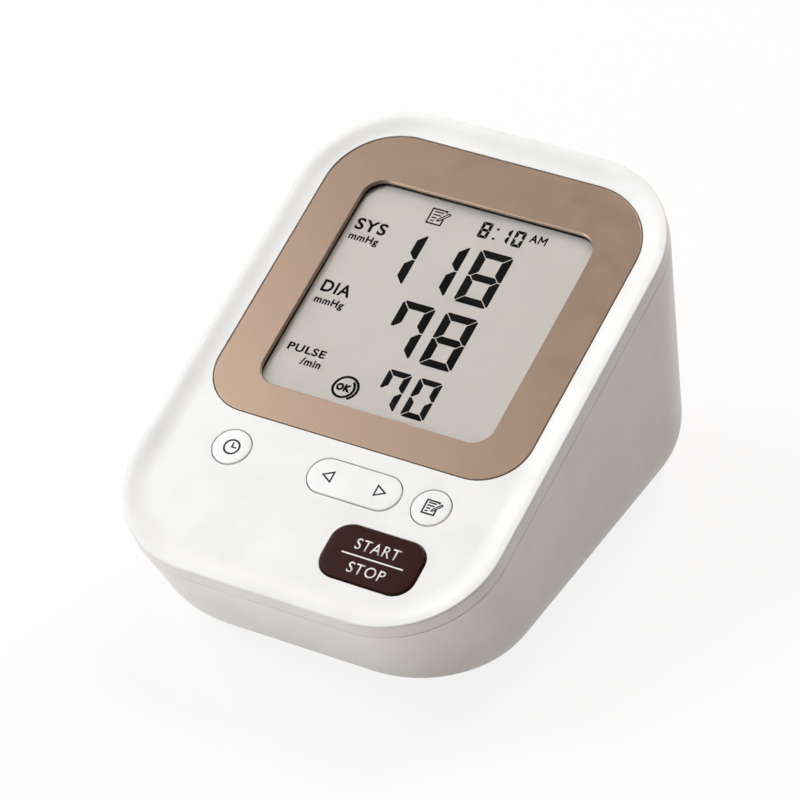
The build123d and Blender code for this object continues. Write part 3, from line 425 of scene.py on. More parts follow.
room_bm, room_top = tub(case_wall, parting)
steps(room_bm, room_top, [(0, 0), (0, room_rise)])
standing = []
for x, y in post_places:
    spot = Matrix.Translation((x, y, 0))
    outside = Matrix.Translation((x + (rib_reach if x > 0 else -rib_reach), y, 0))
    standing += [rod(spot, boss_radius, 0, post_joint(y)),
                 prism(outside, rib_size, 0, post_joint(y) - rib_drop)]
cradle = prism(Matrix.Translation((pump_place[0], pump_place[1], 0)), cradle_size, 0, cradle_top)
cut(cradle, [rod(Matrix.Translation(pump_place) @ along_x, cradle_bore, -cradle_cut, cradle_cut)])
bay_block = (bay_size[0] + 2 * bay_wall, bay_size[1] + 2 * bay_wall, bay_corner)
standing += [cradle, prism(Matrix.Translation((0, bay_y, 0)), bay_block, 0, bay_roof + bay_wall)]
room = cut(closed(room_bm), standing)

tub_bm, tub_top = tub(0, parting - groove)
lip_foot = parting - groove / 4
steps(tub_bm, tub_top, [(0, parting - groove), (groove, lip_foot), (lip_inset, lip_foot),
                        (lip_inset, parting + lip_rise)])
openings = [
    room,
    prism(Matrix.Translation((0, bay_y, 0)), bay_size, -mm, bay_roof),
    prism(Matrix.Translation((0, bay_y, 0)), cover_seat_size, -mm, cover_seat_top),
    rod(Matrix.Translation(jack_place) @ along_x, jack_radius + seat_gap, -socket_cut, socket_cut),
    rod(Matrix.Translation(inlet_place) @ along_y, inlet_radius + seat_gap, -socket_cut, socket_cut),
]
for x in (-tab_x, tab_x):
    openings.append(prism(Matrix.Translation((x, hinge_y, 0)), tab_slot_size, tab_slot_foot, tab_slot_top))
for x, y in post_places:
    spot = Matrix.Translation((x, y, 0))
    seat = post_joint(y) - screw_web
    openings += [rod(spot, well_radius, -mm, seat),
                 rod(spot, screw_bore, seat - mm, seat + 2 * screw_web)]
for x, y in foot_places:
    spot = Matrix.Translation((x, y, 0))
    openings.append(rod(spot, foot_radius + seat_gap, -mm, foot_height + foot_seat))
lower = cut(closed(tub_bm), openings)
dress(lower, "lower_shell", case_white)
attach(lower, "case")
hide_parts("lower_case")

# ================================================================ display bezel
# A thin bronze frame let into the panel, with larger corners at the top. It is ABS with a satin metallic
# paint. The small bevel round the window has a lighter copy of the paint as a painted highlight, and the edge
# that drops from it has a lighter plain copy as painted light, since that edge stands in shade.
bezel_edge = 0.22 * mm
window_bevel = 0.35 * mm
nearly_level = 0.95
nearly_upright = 0.3
flake_depth = 0.002 * mm
flake_change = 0.06
paint_sheen_size = 6 * mm
paint_sheen_change = 0.07


def metallic(name, colour, roughness, metal, flake=0.18 * mm, level=0.5):
    """Paint or plating: a metal colour with fine flakes in it."""
    material, nodes, links, shader = shader_of(name)
    flakes = spread(nodes, links, noise(nodes, links, flake, 1.0), 0, 1)
    lighter = tuple(min(1.0, c * (1 + flake_change)) for c in colour[:3]) + (1.0,)
    darker = tuple(c * (1 - flake_change) for c in colour[:3]) + (1.0,)
    links.new(blend(nodes, links, flakes, darker, lighter), shader.inputs["Base Color"])
    sheen = spread(nodes, links, noise(nodes, links, paint_sheen_size),
                   roughness * (1 - paint_sheen_change), roughness * (1 + paint_sheen_change))
    links.new(sheen, shader.inputs["Roughness"])
    links.new(bump(nodes, links, noise(nodes, links, flake, 1.0), flake_depth), shader.inputs["Normal"])
    shader.inputs["Metallic"].default_value = metal
    shader.inputs["Specular IOR Level"].default_value = level
    return material


bezel_bronze = metallic("bezel_bronze", tint(159, 134, 114), 0.36, 0.8, level=0.3)
# Lighter copies of the bronze paint: a painted highlight on the window bevel, and painted light on the drop
# edge in shade.
bezel_bevel_painted_highlight = metallic("bezel_bevel_painted_highlight", tint(178, 155, 138), 0.4, 0.6)
bezel_wall_painted_light = moulded("bezel_wall_painted_light", tint(172, 150, 136), 0.45)

plate_bm = bmesh.new()
plate = outline(plate_bm, on_panel(0, 0, -bezel_thickness), bezel_width, bezel_length,
                bezel_front_corner, bezel_rear_corner)
steps(plate_bm, plate, [(0, -bezel_thickness)] + rounded(0, 0, bezel_edge))
window_bm = bmesh.new()
window_top = outline(window_bm, on_panel(0, window_v, window_bevel),
                     window_width + 4 * window_bevel, window_length + 4 * window_bevel,
                     window_corner + 2 * window_bevel)
steps(window_bm, window_top, [(0, window_bevel), (2 * window_bevel, -window_bevel),
                              (2 * window_bevel, -3 * bezel_thickness)])
bezel = cut(closed(plate_bm), [closed(window_bm)])
dress(bezel, "bezel_frame", bezel_bronze, bezel_bevel_painted_highlight, bezel_wall_painted_light, crease=28)
to_panel = panel.inverted()
facing = panel.to_3x3() @ Vector((0, 0, 1))
# Window faces that are not level take the painted highlight copy, and the upright ones take the painted light
# copy.
for face in bezel.data.polygons:
    middle = to_panel @ face.center
    inside = abs(middle.x) < window_width / 2 + window_bevel
    inside = inside and abs(middle.y - window_v) < window_length / 2 + window_bevel
    slant = abs(face.normal.dot(facing))
    if inside and slant < nearly_level:
        face.material_index = 2 if slant < nearly_upright else 1
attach(bezel, "case")
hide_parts("display_bezel")

# ================================================================ lens and gasket
# A clear acrylic window under the bezel, with a polished edge, and the black foam gasket that keeps
# dust out between it and the LCD.
lens_gap = 0.02 * mm
lens_edge = 0.15 * mm
haze_size = 20 * mm

lens_clear, lens_nodes, lens_links, lens_shader = shader_of("lens_clear")
lens_shader.inputs["Base Color"].default_value = (1, 1, 1, 1)
lens_shader.inputs["Transmission Weight"].default_value = 1.0
lens_shader.inputs["IOR"].default_value = 1.25
lens_haze = spread(lens_nodes, lens_links, noise(lens_nodes, lens_links, haze_size), 0.0, 0.015)
lens_links.new(lens_haze, lens_shader.inputs["Roughness"])

lens_bm = bmesh.new()
lens_top = -bezel_thickness - lens_gap
lens_foot = -bezel_thickness - lens_thickness
lens_face = outline(lens_bm, on_panel(0, window_v, lens_foot), *lens_size)
steps(lens_bm, lens_face, [(0, lens_foot)] + rounded(0, lens_top, lens_edge, 3))
lens = dress(closed(lens_bm), "lens_pane", lens_clear)
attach(lens, "case")
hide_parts("display_lens")

gasket_black = moulded("gasket_black", tint(30, 29, 28), 0.8, 0.25 * mm, 0.03 * mm)
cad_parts["lens_gasket"].data.materials[0] = gasket_black

# ================================================================ LCD and its figures
# A reflective LCD, warm grey when it shows nothing, with its front glass right under the lens. Its
# segments and words stand on that glass as thin black shapes: three readings with their names and
# units, the time, a notepad and an OK in a ring.
lcd_top = -3.4 * mm
glass_top = -2.46 * mm
glass_margin = 0.05 * mm
ink = 0.04 * mm
letter_space = 1.12
arc_steps = 48


def flat(bm, points):
    """Flat plate through these points, in millimetres."""
    bm.faces.new([bm.verts.new((x * mm, y * mm, 0)) for x, y in points])


def segments(width, height, upright, level, corner, gap):
    """The seven plates of a figure, with clipped outer corners and gaps that slant at 45 degrees."""
    slip = gap * 0.7071
    middle = height / 2
    toe = 0.35 * upright
    near = (corner - slip) / 2
    far = (corner + slip) / 2
    start = toe + slip
    end = width - toe - slip
    top = [(corner, height), (width - corner, height), (width - far, height - near),
           (width - level - slip, height - level), (level + slip, height - level), (far, height - near)]
    left = [(0, height - corner), (near, height - far), (upright, height - upright - slip),
            (upright, middle + upright - toe + slip), (toe, middle + slip), (0, middle + slip)]
    across = [(start, middle), (start + level / 2, middle + level / 2),
              (end - level / 2, middle + level / 2), (end, middle),
              (end - level / 2, middle - level / 2), (start + level / 2, middle - level / 2)]
    right = [(width - x, y) for x, y in left]
    return {"a": top, "f": left, "b": right, "g": across, "d": [(x, height - y) for x, y in top],
            "e": [(x, height - y) for x, y in left], "c": [(x, height - y) for x, y in right]}


lit = {"0": "abcdef", "1": "bc", "7": "abcf", "8": "abcdefg"}


def figure(bm, sign, right, low, width, height, upright, level, corner=0.9, gap=0.25):
    """One figure, in millimetres: its right edge, its foot, its size and its two widths of stroke."""
    plates = segments(width, height, upright, level, corner, gap)
    for letter in lit[sign]:
        flat(bm, [(right - width + x, low + y) for x, y in plates[letter]])


def bar(bm, x0, y0, x1, y1, stroke):
    """Straight stroke between two points, in millimetres."""
    start = Vector((x0, y0, 0)) * mm
    end = Vector((x1, y1, 0)) * mm
    turn = Vector((1, 0, 0)).rotation_difference(end - start).to_matrix().to_4x4()
    size = Matrix.Diagonal(((end - start).length, stroke * mm, 1, 1))
    bmesh.ops.create_grid(bm, x_segments=1, y_segments=1, size=0.5,
                          matrix=Matrix.Translation((start + end) / 2) @ turn @ size)


def arc(bm, x, y, radius, stroke, start=0, sweep=360):
    """Round stroke inside this radius, in millimetres and degrees; without a sweep it is a full ring."""
    turn = radians(start)
    ends = [bm.verts.new(((x + r * cos(turn)) * mm, (y + r * sin(turn)) * mm, 0))
            for r in (radius - stroke, radius)]
    edge = bm.edges.new(ends)
    bmesh.ops.spin(bm, geom=ends + [edge], cent=(x * mm, y * mm, 0), axis=(0, 0, 1), dvec=(0, 0, 0),
                   angle=radians(sweep), steps=arc_steps, use_merge=sweep == 360, use_duplicate=False)


def loop(bm, points, stroke):
    """Closed line with straight sides, in millimetres."""
    others = set(bm.faces)
    flat(bm, points)
    shape = next(face for face in bm.faces if face not in others)
    shape.normal_update()
    bmesh.ops.inset_individual(bm, faces=[shape], thickness=stroke * mm, depth=0, use_even_offset=True)
    bmesh.ops.delete(bm, geom=[shape], context="FACES_ONLY")


def word(bm, text, left, right, low, high, weight):
    """Lettering that fills a box, in millimetres, its strokes made bolder by weight."""
    curve = bpy.data.curves.new("word", "FONT")
    curve.body = text
    curve.offset = weight
    curve.space_character = letter_space
    curve.resolution_u = 5
    writer = bpy.data.objects.new("word", curve)
    bpy.context.scene.collection.objects.link(writer)
    mesh = bpy.data.meshes.new_from_object(writer.evaluated_get(bpy.context.evaluated_depsgraph_get()))
    bpy.data.objects.remove(writer)
    old = set(bm.verts)
    bm.from_mesh(mesh)
    letters = [vert for vert in bm.verts if vert not in old]
    xs = [vert.co.x for vert in letters]
    ys = [vert.co.y for vert in letters]
    wide = (right - left) * mm / (max(xs) - min(xs))
    tall = (high - low) * mm / (max(ys) - min(ys))
    fit = Matrix.Translation((left * mm - min(xs) * wide, low * mm - min(ys) * tall, 0))
    bmesh.ops.transform(bm, matrix=fit @ Matrix.Diagonal((wide, tall, 1, 1)), verts=letters)


def letter_m(bm, left, low, width, height, stroke):
    """Capital M whose middle stays open at this size, in millimetres."""
    valley = 0.25 * height
    half = [(0, 0), (stroke, 0), (stroke, height - 2.4 * stroke), (width / 2, valley)]
    crown = [(width, height), (width - stroke, height), (width / 2, valley + 1.9 * stroke),
             (stroke, height), (0, height)]
    other = [(width - x, y) for x, y in reversed(half[:3])]
    flat(bm, [(left + x, low + y) for x, y in half + other + crown])


def printed(bm, place, name, material, thickness=ink):
    """Gives flat marks their thickness and lays them on their surface."""
    bmesh.ops.remove_doubles(bm, verts=bm.verts, dist=weld / 2)
    bmesh.ops.recalc_face_normals(bm, faces=bm.faces)
    low = [face for face in bm.faces if face.normal.z < 0]
    bmesh.ops.reverse_faces(bm, faces=low)
    made = bmesh.ops.extrude_face_region(bm, geom=bm.faces[:])["geom"]
    tops = [part for part in made if isinstance(part, bmesh.types.BMVert)]
    bmesh.ops.translate(bm, vec=(0, 0, thickness), verts=tops)
    bmesh.ops.transform(bm, matrix=place, verts=bm.verts)
    bmesh.ops.recalc_face_normals(bm, faces=bm.faces)
    mesh = bpy.data.meshes.new(name)
    bm.to_mesh(mesh)
    bm.free()
    marks = bpy.data.objects.new(name, mesh)
    mesh.materials.append(material)
    bpy.context.scene.collection.objects.link(marks)
    return marks


def notepad(bm, left, low, size, stroke):
    """Sign for the memory: a written page, open on the right where a pencil lies over its edge."""
    def placed(points):
        return [(left + size * x, low + size * y) for x, y in points]
    rim = stroke / size
    wide, tall = 5, 5.6
    open_low, open_high = 2.45, 4.7
    flat(bm, placed([(wide, open_low), (wide, 0), (0, 0), (0, tall), (wide, tall), (wide, open_high),
                     (wide - rim, open_high), (wide - rim, tall - rim), (rim, tall - rim), (rim, rim),
                     (wide - rim, rim), (wide - rim, open_low)]))
    for y, end in ((4.45, 4.0), (3.4, 3.6), (2.35, 2.65), (1.3, 2.2)):
        first, last = placed([(1.0, y), (end, y)])
        bar(bm, *first, *last, 0.85 * stroke)
    pencil = [(2.85, 1.2), (4.0, 1.64), (6.49, 4.38), (5.67, 5.12), (3.18, 2.38)]
    loop(bm, placed(pencil), 0.75 * stroke)


lcd_grey = moulded("lcd_grey", tint(229, 222, 213), 0.7, 0.12 * mm, 0.001 * mm, 0.012)
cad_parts["lcd_panel"].data.materials[0] = lcd_grey
lcd_black = moulded("lcd_black", tint(9, 8, 8), 0.6, 0.1 * mm, 0.001 * mm, Specular_IOR_Level=0.1)

glass_bm = bmesh.new()
glass_face = outline(glass_bm, on_panel(0, window_v, lcd_top), window_width - 2 * glass_margin,
                     window_length - 2 * glass_margin, window_corner - glass_margin)
steps(glass_bm, glass_face, [(0, lcd_top), (0, glass_top)])
glass = dress(closed(glass_bm), "lcd_front_glass", lcd_grey)
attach(glass, "case")

screen = on_panel(-0.25 * mm, 0.15 * mm, glass_top)

readings = bmesh.new()
for sign, right in (("1", -11.7), ("1", 1.8), ("8", 15.6)):
    figure(readings, sign, right, low=3.0, width=10.6, height=18.6, upright=2.7, level=2.4)
for sign, right in (("7", 2.0), ("8", 15.6)):
    figure(readings, sign, right, low=-19.5, width=10.4, height=18.5, upright=2.7, level=2.4)
for sign, right in (("7", 5.9), ("0", 15.6)):
    figure(readings, sign, right, low=-36.8, width=7.4, height=13.3, upright=2.05, level=1.85, corner=0.7)
for sign, right in (("8", 4.6), ("1", 11.0), ("0", 15.3)):
    figure(readings, sign, right, low=25.1, width=3.2, height=5.6, upright=1.0, level=0.98, corner=0.3,
           gap=0.1)
for dot in (25.9, 29.25):
    bar(readings, 6.15, dot, 6.9, dot, 0.75)
figures = printed(readings, screen, "lcd_figures", lcd_black)
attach(figures, "case")

words = bmesh.new()
for text, left, right, low, high, weight in (("SYS", -34.5, -24.6, 17.0, 21.1, 0.026),
                                             ("mmHg", -34.5, -25.0, 12.6, 15.8, 0.03),
                                             ("DIA", -33.8, -24.5, -5.6, -1.5, 0.026),
                                             ("mmHg", -33.8, -24.4, -10.4, -7.2, 0.03),
                                             ("PULSE", -33.5, -21.4, -26.6, -24.0, 0.03),
                                             ("/min", -27.5, -21.1, -30.2, -27.6, 0.03),
                                             ("A", 16.8, 19.2, 28.0, 30.8, 0.032)):
    word(words, text, left, right, low, high, weight)
letter_m(words, left=19.5, low=28.0, width=2.5, height=2.8, stroke=0.46)
word(words, "OK", -13.6, -9.0, -34.65, -32.15, 0.075)
arc(words, -11.3, -33.4, radius=3.6, stroke=0.8, start=50, sweep=-230)
arc(words, -10.7, -33.4, radius=4.1, stroke=0.8, start=180, sweep=-240)
notepad(words, left=-15.2, low=25.1, size=1.0, stroke=0.5)
words_piece = printed(words, screen, "lcd_words", lcd_black)
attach(words_piece, "case")

# ================================================================ keys
# Four moulded keys stand almost level with the panel, with soft edges and a dark hairline round each.
# The start and stop key is dark brown with white letters, the others are glossy white with dark signs.
# A flange keeps three of them in the case; the rocker tips on a pivot rod.
key_rise = 0.15 * mm
key_edge = 0.4 * mm
shoulder_inset = 0.9 * mm
shoulder_rise = 0.03 * mm
crown_inset = 2.4 * mm
crown_rise = 0.05 * mm
start_rise = 0.5 * mm
start_edge = 0.45 * mm
flange_reach = 0.9 * mm
flange_top = -3.5 * mm
flange_bottom = -4.2 * mm
stem_end = -6 * mm
stem_radius = 1.6 * mm
rocker_foot = -6.01 * mm
pivot_depth = 4.6 * mm
pivot_radius = 0.9 * mm
pivot_half = 7 * mm
sign_relief = 0.012 * mm

key_white = moulded("key_white", tint(240, 239, 237), 0.3, 0.5 * mm, 0.002 * mm, Specular_IOR_Level=0.45)
key_brown = moulded("key_brown", tint(52, 21, 14), 0.36, 0.4 * mm, 0.004 * mm, 0.08, Specular_IOR_Level=0.09)
sign_grey = moulded("sign_grey", tint(46, 41, 40), 0.5, 0.2 * mm, 0.001 * mm, Specular_IOR_Level=0.2)
letter_white = moulded("letter_white", tint(236, 230, 226), 0.45, 0.2 * mm, 0.001 * mm)


def key_cap(place, size, rise, edge, foot=flange_bottom, reach=flange_reach):
    """Key with a rounded top edge and a crown so slight that only its reflection shows it."""
    bm = bmesh.new()
    width, length, corner = size
    face = outline(bm, on_panel(*place, foot), width + 2 * reach, length + 2 * reach, corner + reach)
    flange = [(-reach, foot), (-reach, flange_top), (0, flange_top)] if reach else [(0, foot)]
    crown = [(edge + shoulder_inset, rise + shoulder_rise), (edge + crown_inset, rise + crown_rise)]
    steps(bm, face, flange + rounded(0, rise, edge, 7) + crown)
    return bm


def add_rod(bm, place, radius, low, high):
    """Adds a stem or a pivot to a key."""
    middle = place @ Matrix.Translation((0, 0, (low + high) / 2))
    bmesh.ops.create_cone(bm, cap_ends=True, segments=32, radius1=radius, radius2=radius,
                          depth=high - low, matrix=middle)


def key_piece(name, bm, material, body, node):
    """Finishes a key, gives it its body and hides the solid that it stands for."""
    key = dress(closed(bm), name, material)
    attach(key, body)
    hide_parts(node)


for name, spot, body, node in (("clock_cap", clock_place, "clock_key", "clock_button"),
                               ("memo_cap", memo_place, "memo_key", "memo_button")):
    cap = key_cap(spot, round_size, key_rise, key_edge)
    add_rod(cap, on_panel(*spot), stem_radius, stem_end, flange_bottom)
    key_piece(name, cap, key_white, body, node)

cap = key_cap(start_place, start_size, start_rise, start_edge)
add_rod(cap, on_panel(*start_place), stem_radius, stem_end, flange_bottom)
key_piece("start_cap", cap, key_brown, "start_key", "start_stop_button")

cap = key_cap(rocker_place, rocker_size, key_rise, key_edge, rocker_foot, 0.0)
add_rod(cap, on_panel(*rocker_place, -pivot_depth) @ along_y, pivot_radius, -pivot_half, pivot_half)
key_piece("rocker_cap", cap, key_white, "rocker", "memory_rocker")

key_face = key_rise + crown_rise
sign_stroke = 0.5
clock_sign = bmesh.new()
arc(clock_sign, 0, 0, radius=2.55, stroke=0.58)
bar(clock_sign, 0, -sign_stroke / 2, 0, 1.5, sign_stroke)
bar(clock_sign, sign_stroke / 2, 0, 1.4, 0, sign_stroke)
clock_print = on_panel(clock_place[0] + 0.1 * mm, clock_place[1] - 0.1 * mm, key_face)
clock_marks = printed(clock_sign, clock_print, "clock_sign", sign_grey, sign_relief)
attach(clock_marks, "clock_key")

memo_sign = bmesh.new()
notepad(memo_sign, left=-2.25, low=-2.35, size=0.85, stroke=0.54)
memo_marks = printed(memo_sign, on_panel(*memo_place, key_face), "memo_sign", sign_grey, sign_relief)
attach(memo_marks, "memo_key")

rocker_sign = bmesh.new()
loop(rocker_sign, [(-10.4, 0.1), (-6.75, -2.0), (-6.75, 2.15)], sign_stroke)
loop(rocker_sign, [(10.2, 0.1), (6.55, 2.15), (6.55, -2.0)], sign_stroke)
rocker_marks = printed(rocker_sign, on_panel(*rocker_place, key_face), "rocker_sign", sign_grey, sign_relief)
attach(rocker_marks, "rocker")

start_words = bmesh.new()
word(start_words, "START", 17.0, 30.5, -80.7, -77.2, 0.005)
bar(start_words, 14.3, -82.6, 33.3, -82.6, 0.45)
word(start_words, "STOP", 18.2, 29.6, -88.0, -84.6, 0.005)
start_print = on_panel(0.28 * mm, -0.35 * mm, start_rise + crown_rise)
start_marks = printed(start_words, start_print, "start_words", letter_white, sign_relief)
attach(start_marks, "start_key")

# ================================================================ sockets
# Left: the air socket, a grey moulding with a deep bore for the cuff's plug. Back: the inlet of the
# power supply, a black barrel round a nickel pin. Both sit a little below the wall round them.
jack_face = -57.819 * mm
jack_end = -13 * mm
jack_edge = 0.4 * mm
jack_bore_radius = 2.5 * mm
jack_bore_depth = 11 * mm
collar_radius = 7.1 * mm
collar_back = -4.35 * mm
collar_front = -2.9 * mm
nipple_radius = 1.04 * mm
nipple_end = -18 * mm
ring_depth = 0.25 * mm

inlet_face = 79.102 * mm
inlet_end = -13 * mm
inlet_bore_radius = 2.85 * mm
inlet_bore_depth = 9.5 * mm
inlet_block_size = (11 * mm, 11 * mm, 0.6 * mm)
inlet_block_front = -4 * mm
pin_foot = -9.6 * mm
pin_radius = 0.85 * mm


def turned(bm, place, profile, turns=64):
    """Body of revolution from (radius, height) points, its axis the z axis of its place."""
    verts = [bm.verts.new((radius, 0, height)) for radius, height in profile]
    edges = [bm.edges.new(pair) for pair in zip(verts, verts[1:])]
    old = set(bm.verts) - set(verts)
    bmesh.ops.spin(bm, geom=verts + edges, cent=(0, 0, 0), axis=(0, 0, 1), dvec=(0, 0, 0), angle=2 * pi,
                   steps=turns, use_merge=True, use_duplicate=False)
    bmesh.ops.transform(bm, matrix=place, verts=[vert for vert in bm.verts if vert not in old])


socket_grey = moulded("socket_grey", tint(92, 92, 95), 0.5, 0.3 * mm, 0.006 * mm)
socket_black = moulded("socket_black", tint(26, 26, 27), 0.4, 0.3 * mm, 0.005 * mm)
pin_nickel = metallic("pin_nickel", tint(205, 204, 200), 0.25, 1.0)

socket_bm = bmesh.new()
socket_out = Matrix.Translation((jack_face, jack_place[1], jack_place[2])) @ Matrix.Rotation(-pi / 2, 4, "Y")
jack_back = [(0, nipple_end), (nipple_radius, nipple_end), (nipple_radius, jack_end), (jack_radius, jack_end)]
jack_collar = [(jack_radius, collar_back), (collar_radius, collar_back), (collar_radius, collar_front),
               (jack_radius, collar_front)]
jack_front = [(jack_radius, -jack_edge), (jack_radius - jack_edge, 0), (4.6 * mm, 0),
              (4.4 * mm, -ring_depth), (3.6 * mm, -ring_depth), (3.4 * mm, 0), (2.9 * mm, 0)]
jack_bore = [(jack_bore_radius, -0.5 * mm), (jack_bore_radius, -jack_bore_depth), (0, -jack_bore_depth)]
turned(socket_bm, socket_out, jack_back + jack_collar + jack_front + jack_bore)
socket = dress(closed(socket_bm), "air_socket_moulding", socket_grey)
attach(socket, "case")
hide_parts("air_jack")

inlet_bm = bmesh.new()
inlet_out = Matrix.Translation((inlet_place[0], inlet_face, inlet_place[2])) @ along_y
turned(inlet_bm, inlet_out, [(0, inlet_end), (inlet_radius, inlet_end), (inlet_radius, -0.3 * mm),
                             (4.1 * mm, 0), (3.2 * mm, 0), (inlet_bore_radius, -0.4 * mm),
                             (inlet_bore_radius, -inlet_bore_depth), (0, -inlet_bore_depth)])
block = outline(inlet_bm, inlet_out @ Matrix.Translation((0, 0, inlet_end)), *inlet_block_size)
steps(inlet_bm, block, [(0, inlet_end), (0, inlet_block_front)])
inlet = dress(closed(inlet_bm), "power_inlet_barrel", socket_black)
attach(inlet, "case")
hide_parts("dc_jack")

pin_bm = bmesh.new()
turned(pin_bm, inlet_out, [(0, pin_foot), (pin_radius, pin_foot), (pin_radius, -1.1 * mm),
                           (0.7 * mm, -0.75 * mm), (0.35 * mm, -0.6 * mm), (0, -0.58 * mm)], 32)
pin = dress(closed(pin_bm), "power_inlet_pin", pin_nickel)
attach(pin, "case")

# ================================================================ battery cover
# A white ABS lid in the floor of the case. It hangs on two hooked tabs at the back, a tongue stands up
# behind its front edge, and three finger grooves show where to press.
cover_size = (59.9 * mm, 63.0 * mm, 3.7 * mm)
cover_thickness = 2 * mm
cover_edge = 0.35 * mm
grip_size = (18 * mm, 1.2 * mm, 0.59 * mm)
grip_pitch = 2.4 * mm
grip_y = -35.4 * mm
grip_depth = 0.6 * mm
root = foot_height + 1.5 * mm
hook_width = 8 * mm
hook_thickness = 1.2 * mm
hook_corner = 0.25 * mm
hook_y = 20.9 * mm
hook_low = 3.8 * mm
hook_back = 26 * mm
latch_size = (14 * mm, 1.2 * mm, 0.3 * mm)
latch_y = -36.9 * mm
latch_top = 6 * mm
latch_tip = 0.5 * mm
latch_taper = 0.35 * mm

cover_bm = bmesh.new()
cover_face = outline(cover_bm, Matrix.Translation((0, bay_y, foot_height + cover_thickness)), *cover_size)
lower_edge = [(inset, 2 * foot_height - height) for inset, height in rounded(0, foot_height, cover_edge)]
steps(cover_bm, cover_face, [(0, foot_height + cover_thickness)] + lower_edge)
cover = cut(closed(cover_bm), [
    prism(Matrix.Translation((0, grip_y + row * grip_pitch, 0)), grip_size, 0, foot_height + grip_depth)
    for row in (-1, 0, 1)])
fittings = bmesh.new()
fittings.from_mesh(cover.data)
hook_front = hook_y - hook_thickness / 2
hook_top = hook_low + hook_thickness
for x in (-tab_x, tab_x):
    stalk = outline(fittings, Matrix.Translation((x, hook_y, root)), hook_width, hook_thickness, hook_corner)
    steps(fittings, stalk, [(0, root), (0, hook_top)])
    hook = outline(fittings, Matrix.Translation((x, (hook_front + hook_back) / 2, hook_low)),
                   hook_width, hook_back - hook_front, hook_corner)
    steps(fittings, hook, [(0, hook_low), (0, hook_top)])
tongue = outline(fittings, Matrix.Translation((0, latch_y, root)), *latch_size)
steps(fittings, tongue, [(0, root), (0, latch_top - latch_tip), (latch_taper, latch_top)])
cover_piece = dress(closed(fittings), "battery_lid", case_white)
bpy.data.objects.remove(cover)
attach(cover_piece, "cover")
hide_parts("battery_cover")

# ================================================================ feet and case screws
# Four grey rubber pads glued into their seats, each with a rounded edge and a slightly hollow sole, and
# four zinc-plated screws with a cross recess, deep in their wells.
pad_edge = 0.4 * mm
sole_hollow = 0.12 * mm
head_radius = 2.9 * mm
head_height = 2 * mm
shank_radius = 1.5 * mm
shank_length = 12 * mm
recess_size = (3.2 * mm, 0.7 * mm, 0.1 * mm)
recess_depth = 1.1 * mm

foot_grey = moulded("foot_grey", tint(150, 150, 149), 0.75, 0.5 * mm, 0.02 * mm, 0.05)
screw_zinc = metallic("screw_zinc", tint(190, 190, 192), 0.35, 1.0)

pads = bmesh.new()
pad_top = foot_height + foot_seat
sole = [(0, sole_hollow), (3.2 * mm, sole_hollow), (3.6 * mm, 0)]
side = [(foot_radius - pad_edge + pad_edge * sin(a), pad_edge - pad_edge * cos(a)) for a in quarter(5)]
for x, y in foot_places:
    turned(pads, Matrix.Translation((x, y, 0)), sole + side + [(foot_radius, pad_top), (0, pad_top)], 48)
feet = dress(closed(pads), "foot_pads", foot_grey)
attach(feet, "case")
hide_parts("rubber_feet")

screws_bm = bmesh.new()
recesses = []
dome = [(0, 0), (1.6 * mm, 0.1 * mm), (2.5 * mm, 0.5 * mm), (head_radius, 1.1 * mm)]
head_profile = [(radius, -head_height + height) for radius, height in dome] + [(head_radius, 0)]
shank = [(shank_radius, 0), (shank_radius, shank_length - mm), (0.5 * mm, shank_length), (0, shank_length)]
for x, y in post_places:
    head = Matrix.Translation((x, y, post_joint(y) - screw_web))
    turned(screws_bm, head, head_profile + shank, 40)
    for turn in (0, pi / 2):
        recesses.append(prism(head @ Matrix.Rotation(turn, 4, "Z"), recess_size,
                              -head_height - mm, -head_height + recess_depth))
screws = dress(cut(closed(screws_bm), recesses), "case_screw_set", screw_zinc)
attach(screws, "case")
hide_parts("case_screws")

# ================================================================ what stands inside
# The circuit board, the keypad mat, the cells and their contacts, the pump, the valve and the air line
# keep their solids; each gets the finish of its own material.
track_pitch = 9 * mm
cell_end = 22.2 * mm

silicone = moulded("silicone", tint(214, 213, 206), 0.45, 0.6 * mm, 0.01 * mm, 0.03, Subsurface_Weight=0.2)
black_rubber = moulded("black_rubber", tint(38, 38, 39), 0.6, 0.3 * mm, 0.01 * mm, 0.06)
chip_black = moulded("chip_black", tint(32, 32, 33), 0.55, 0.2 * mm, 0.008 * mm)
sensor_grey = moulded("sensor_grey", tint(196, 195, 190), 0.5)
frame_grey = moulded("frame_grey", tint(208, 207, 202), 0.5, 0.4 * mm, 0.006 * mm)
spring_nickel = metallic("spring_nickel", tint(204, 203, 198), 0.28, 1.0)
shaft_steel = metallic("shaft_steel", tint(172, 173, 175), 0.25, 1.0, 0.1 * mm)
motor_tin = metallic("motor_tin", tint(188, 189, 192), 0.34, 1.0, 0.5 * mm)
valve_tin = metallic("valve_tin", tint(150, 151, 153), 0.4, 1.0, 0.5 * mm)

board_green, nodes, links, shader = shader_of("board_green")
tracks = nodes.new("ShaderNodeTexBrick")
tracks.inputs["Scale"].default_value = 1 / track_pitch
tracks.inputs["Color1"].default_value = tint(24, 96, 54)
tracks.inputs["Color2"].default_value = tint(20, 86, 48)
tracks.inputs["Mortar"].default_value = tint(52, 128, 72)
tracks.inputs["Mortar Size"].default_value = 0.03
place = nodes.new("ShaderNodeTexCoord")
links.new(place.outputs["Object"], tracks.inputs["Vector"])
links.new(tracks.outputs["Color"], shader.inputs["Base Color"])
links.new(spread(nodes, links, noise(nodes, links, 3 * mm), 0.3, 0.42), shader.inputs["Roughness"])

